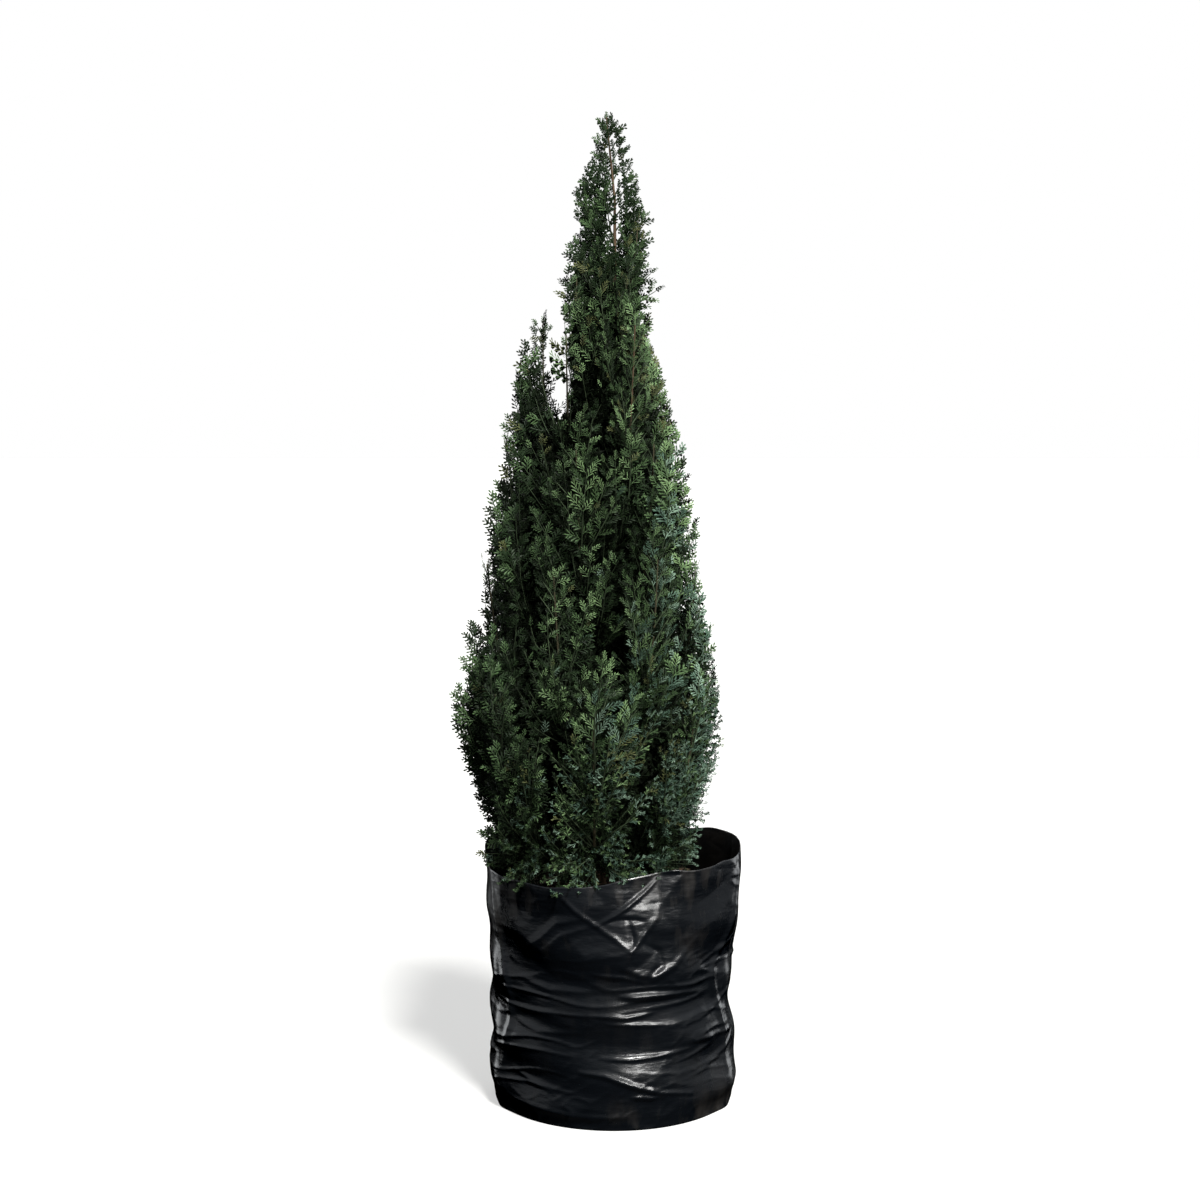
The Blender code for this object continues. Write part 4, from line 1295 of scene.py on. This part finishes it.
def wrinkleRelief(angles, heights):
    settings = filmSettings
    ring = ringOf(angles, 0.153, heights)
    # broad dents
    tall, wide = settings["dents"]
    relief = tall * noiseOn(ring * (wide, wide, wide * 1.3), 1.7) * smoothSteps(heights, 0.0, 0.03)
    # rings of creases, low down and not over the gussets
    warp = noiseOn(ring * 9.0, 5.1) * 0.020
    patch = smoothSteps(noiseOn(ring * (6, 6, 9), 4.4), -0.28, 0.30)
    patch = patch * blend(0.2, 1.0, smoothSteps(np.abs(np.abs(bearingsOf(angles)) - 90), 20, 45))
    low = smoothSteps(heights, 0.010, 0.05) * (1 - smoothSteps(heights, 0.165, 0.235))
    tall, along, across = settings["rings"]
    relief += tall * ridgesOn(ringOf(angles, 0.153, heights + warp), along, across, 9.3, 2.4) * patch * low
    # fine crinkles in patches
    patch = smoothSteps(noiseOn(ring * (14, 14, 14), 7.7), -0.05, 0.30)
    lean = ringOf(angles, 0.153, heights + 0.5 * np.sin(angles * 2) * 0.08)
    tall, along, across = settings["crinkles"]
    relief += tall * ridgesOn(lean, along, across, 2.9, 2.2) * patch
    # pleats where the film turns under
    tall, count = settings["pleats"]
    folds = np.abs(noiseOn(ringOf(angles, count / 6, heights * 12), 3.3))
    low = (1 - smoothSteps(heights, 0.012, 0.045)) * smoothSteps(heights, 0.0, 0.006)
    return relief + tall * (0.5 - folds * 2) * low


def filmRadius(angles, heights):
    bearings, body = bearingsOf(angles), filmBody(angles, heights)
    whole = body + panelRelief(bearings, heights)
    whole += creaseRelief(bearings, heights) + wrinkleRelief(angles, heights)
    return np.where(heights < filmSettings["flatFoot"], body, whole)


def filmRim(angles):
    table, bearings = filmSettings["rimHeights"], bearingsOf(angles)
    soft = sum(fromTable(table, wrapped(bearings + shift))[0] for shift in (-6, -3, 0, 3, 6)) / 5
    return soft + filmSettings["ripple"] * noiseOn(ringOf(angles, 5, 0), 6.2)


def makeFilm():
    settings = filmSettings
    columns, rows, thickness = settings["columns"], settings["rows"], settings["thickness"]
    turns = np.arange(columns) * 2 * math.pi / columns
    rim = filmRim(turns)
    shares = np.linspace(0.0, 1.0, rows + 1)
    # up the outside and down the inside: share of the rim's height, and distance within the film
    rings = [(share, 0.0) for share in shares]
    rings += [(share, thickness) for share in shares[::-1][:settings["linedRows"]]]
    rings += [*settings["innerRings"], (0.0, thickness)]
    points, faces = [], []
    for share, inset in rings:
        radius = filmRadius(turns, rim * share) - inset
        points += list(ringOf(turns, radius, np.maximum(rim * share, thickness if inset else 0.0)))
    last = (len(rings) - 1) * columns
    for low in range(0, last, columns):
        faces += bridge(low, low + columns, columns)
    for start, level in ((0, 0.0), (last, thickness)):
        # the floor of the bag, closed with rings towards its middle
        outer = start
        for size in settings["floorRings"]:
            inner = len(points)
            points += [(x * size, y * size, level) for x, y, _ in points[start:start + columns]]
            floor = flipped(bridge(outer, inner, columns))
            faces += floor if start == 0 else [tuple(reversed(face)) for face in floor]
            outer = inner
        cap = tuple(range(outer, outer + columns))
        faces.append(tuple(reversed(cap)) if start == 0 else cap)
    film = addMesh("bagFilm", points, faces, filmFinish(), linerFinish())
    lined = np.array([min(polygon.vertices) >= (rows + 1) * columns for polygon in film.data.polygons])
    film.data.polygons.foreach_set("material_index", lined.astype(int))
    keepPiece(film, "film", "bag")
    print("film done:", len(film.data.polygons), "faces")


makeFilm()


# The potting mix: a rough mounded top with chips of bark on it.
mixSettings = {
    "level": 0.246,
    "mound": 0.012,
    "gap": 0.0015,
    "walls": (0.20, 0.15, 0.10, 0.05, 0.03, 0.004),  # heights of its rings below the top
    "wallGap": 0.020,
    "rings": 54,
    "sides": 150,
    "rough": ((0.0045, 22.0, 0.3), (0.0028, 90.0, 4.1)),  # height, fineness and seed of two noises
    "dark": (0.006, 0.004, 0.003),
    "pale": (0.045, 0.028, 0.017),
    "chips": 1500,
    "chipGap": 0.007,
    "chipSize": (0.0022, 0.0070),
    "chipKinds": 5,
    "seed": 5,
}


def mixTop(x, y, edge):
    share = min(1.0, math.hypot(x, y) / edge)
    settings, rough = mixSettings, 0.0
    for tall, fine, seed in settings["rough"]:
        rough += noise.noise(Vector((x * fine, y * fine, seed))) * tall
    return settings["level"] + settings["mound"] * (1 - share) + rough * (1 - 0.5 * share)


def makeMix():
    settings = mixSettings
    sides, rings = settings["sides"], settings["rings"]
    turns = np.arange(sides) * 2 * math.pi / sides
    points = []
    edges = filmRadius(turns, np.full(sides, settings["level"])) - settings["gap"]
    for ring in range(rings):
        share = (ring + 0.6) / (rings - 0.4)
        for turn, edge in zip(turns, edges):
            x, y = math.cos(turn) * edge * share, math.sin(turn) * edge * share
            points.append((x, y, mixTop(x, y, edge)))
    for level in settings["walls"]:
        points += list(ringOf(turns, filmBody(turns, np.full(sides, level)) - settings["wallGap"], level))
    last = len(points) - sides
    faces = [face for low in range(0, last, sides) for face in flipped(bridge(low, low + sides, sides))]
    faces.append(tuple(range(sides)))
    faces.append(tuple(reversed(range(last, last + sides))))
    finish = grainFinish("moistMix", "mix", settings["dark"], settings["pale"])
    keepPiece(addMesh("mixSurface", points, faces, finish), "potting_mix", "potting_mix")


def makeChipKinds(draw):
    kinds = bpy.data.collections.new("chip kinds")
    for number in range(mixSettings["chipKinds"]):
        shape = bmesh.new()
        bmesh.ops.create_icosphere(shape, subdivisions=1, radius=1.0)
        flat = Vector((1.0, draw.uniform(0.4, 0.8), draw.uniform(0.22, 0.55)))
        for corner in shape.verts:
            corner.co = corner.co * (1 + draw.uniform(-0.28, 0.22)) * flat
        mesh = bpy.data.meshes.new(f"chip_{number}")
        shape.to_mesh(mesh)
        shape.free()
        kinds.objects.link(bpy.data.objects.new(f"chip_{number}", mesh))
    return kinds


def makeChips():
    settings = mixSettings
    draw = random.Random(settings["seed"])
    kinds = makeChipKinds(draw)
    spots = []
    for _ in range(settings["chips"]):
        turn, reach = draw.uniform(0, 2 * math.pi), math.sqrt(draw.random())
        edge = float(filmRadius(np.array([turn]), np.array([settings["level"]]))[0]) - settings["chipGap"]
        x, y = math.cos(turn) * edge * reach, math.sin(turn) * edge * reach
        size = blend(*settings["chipSize"], draw.random() ** 2)
        turned = (shake(draw, 0.5), shake(draw, 0.5), draw.uniform(0, 6.28))
        place = (x, y, mixTop(x, y, edge) + size * 0.2)
        spots.append((place, turned, size, draw.randrange(settings["chipKinds"])))
    values = {"Sprays": kinds, "Finish": woodFinish("barkChip")}
    chips = grow("mixChips", pointsObject("chips", spots), spraysOnPoints, values)
    keepPiece(chips, "potting_mix", "potting_mix")
    dropKinds(kinds)
    print("potting mix done:", len(chips.data.polygons), "faces of chips")


makeMix()
makeChips()
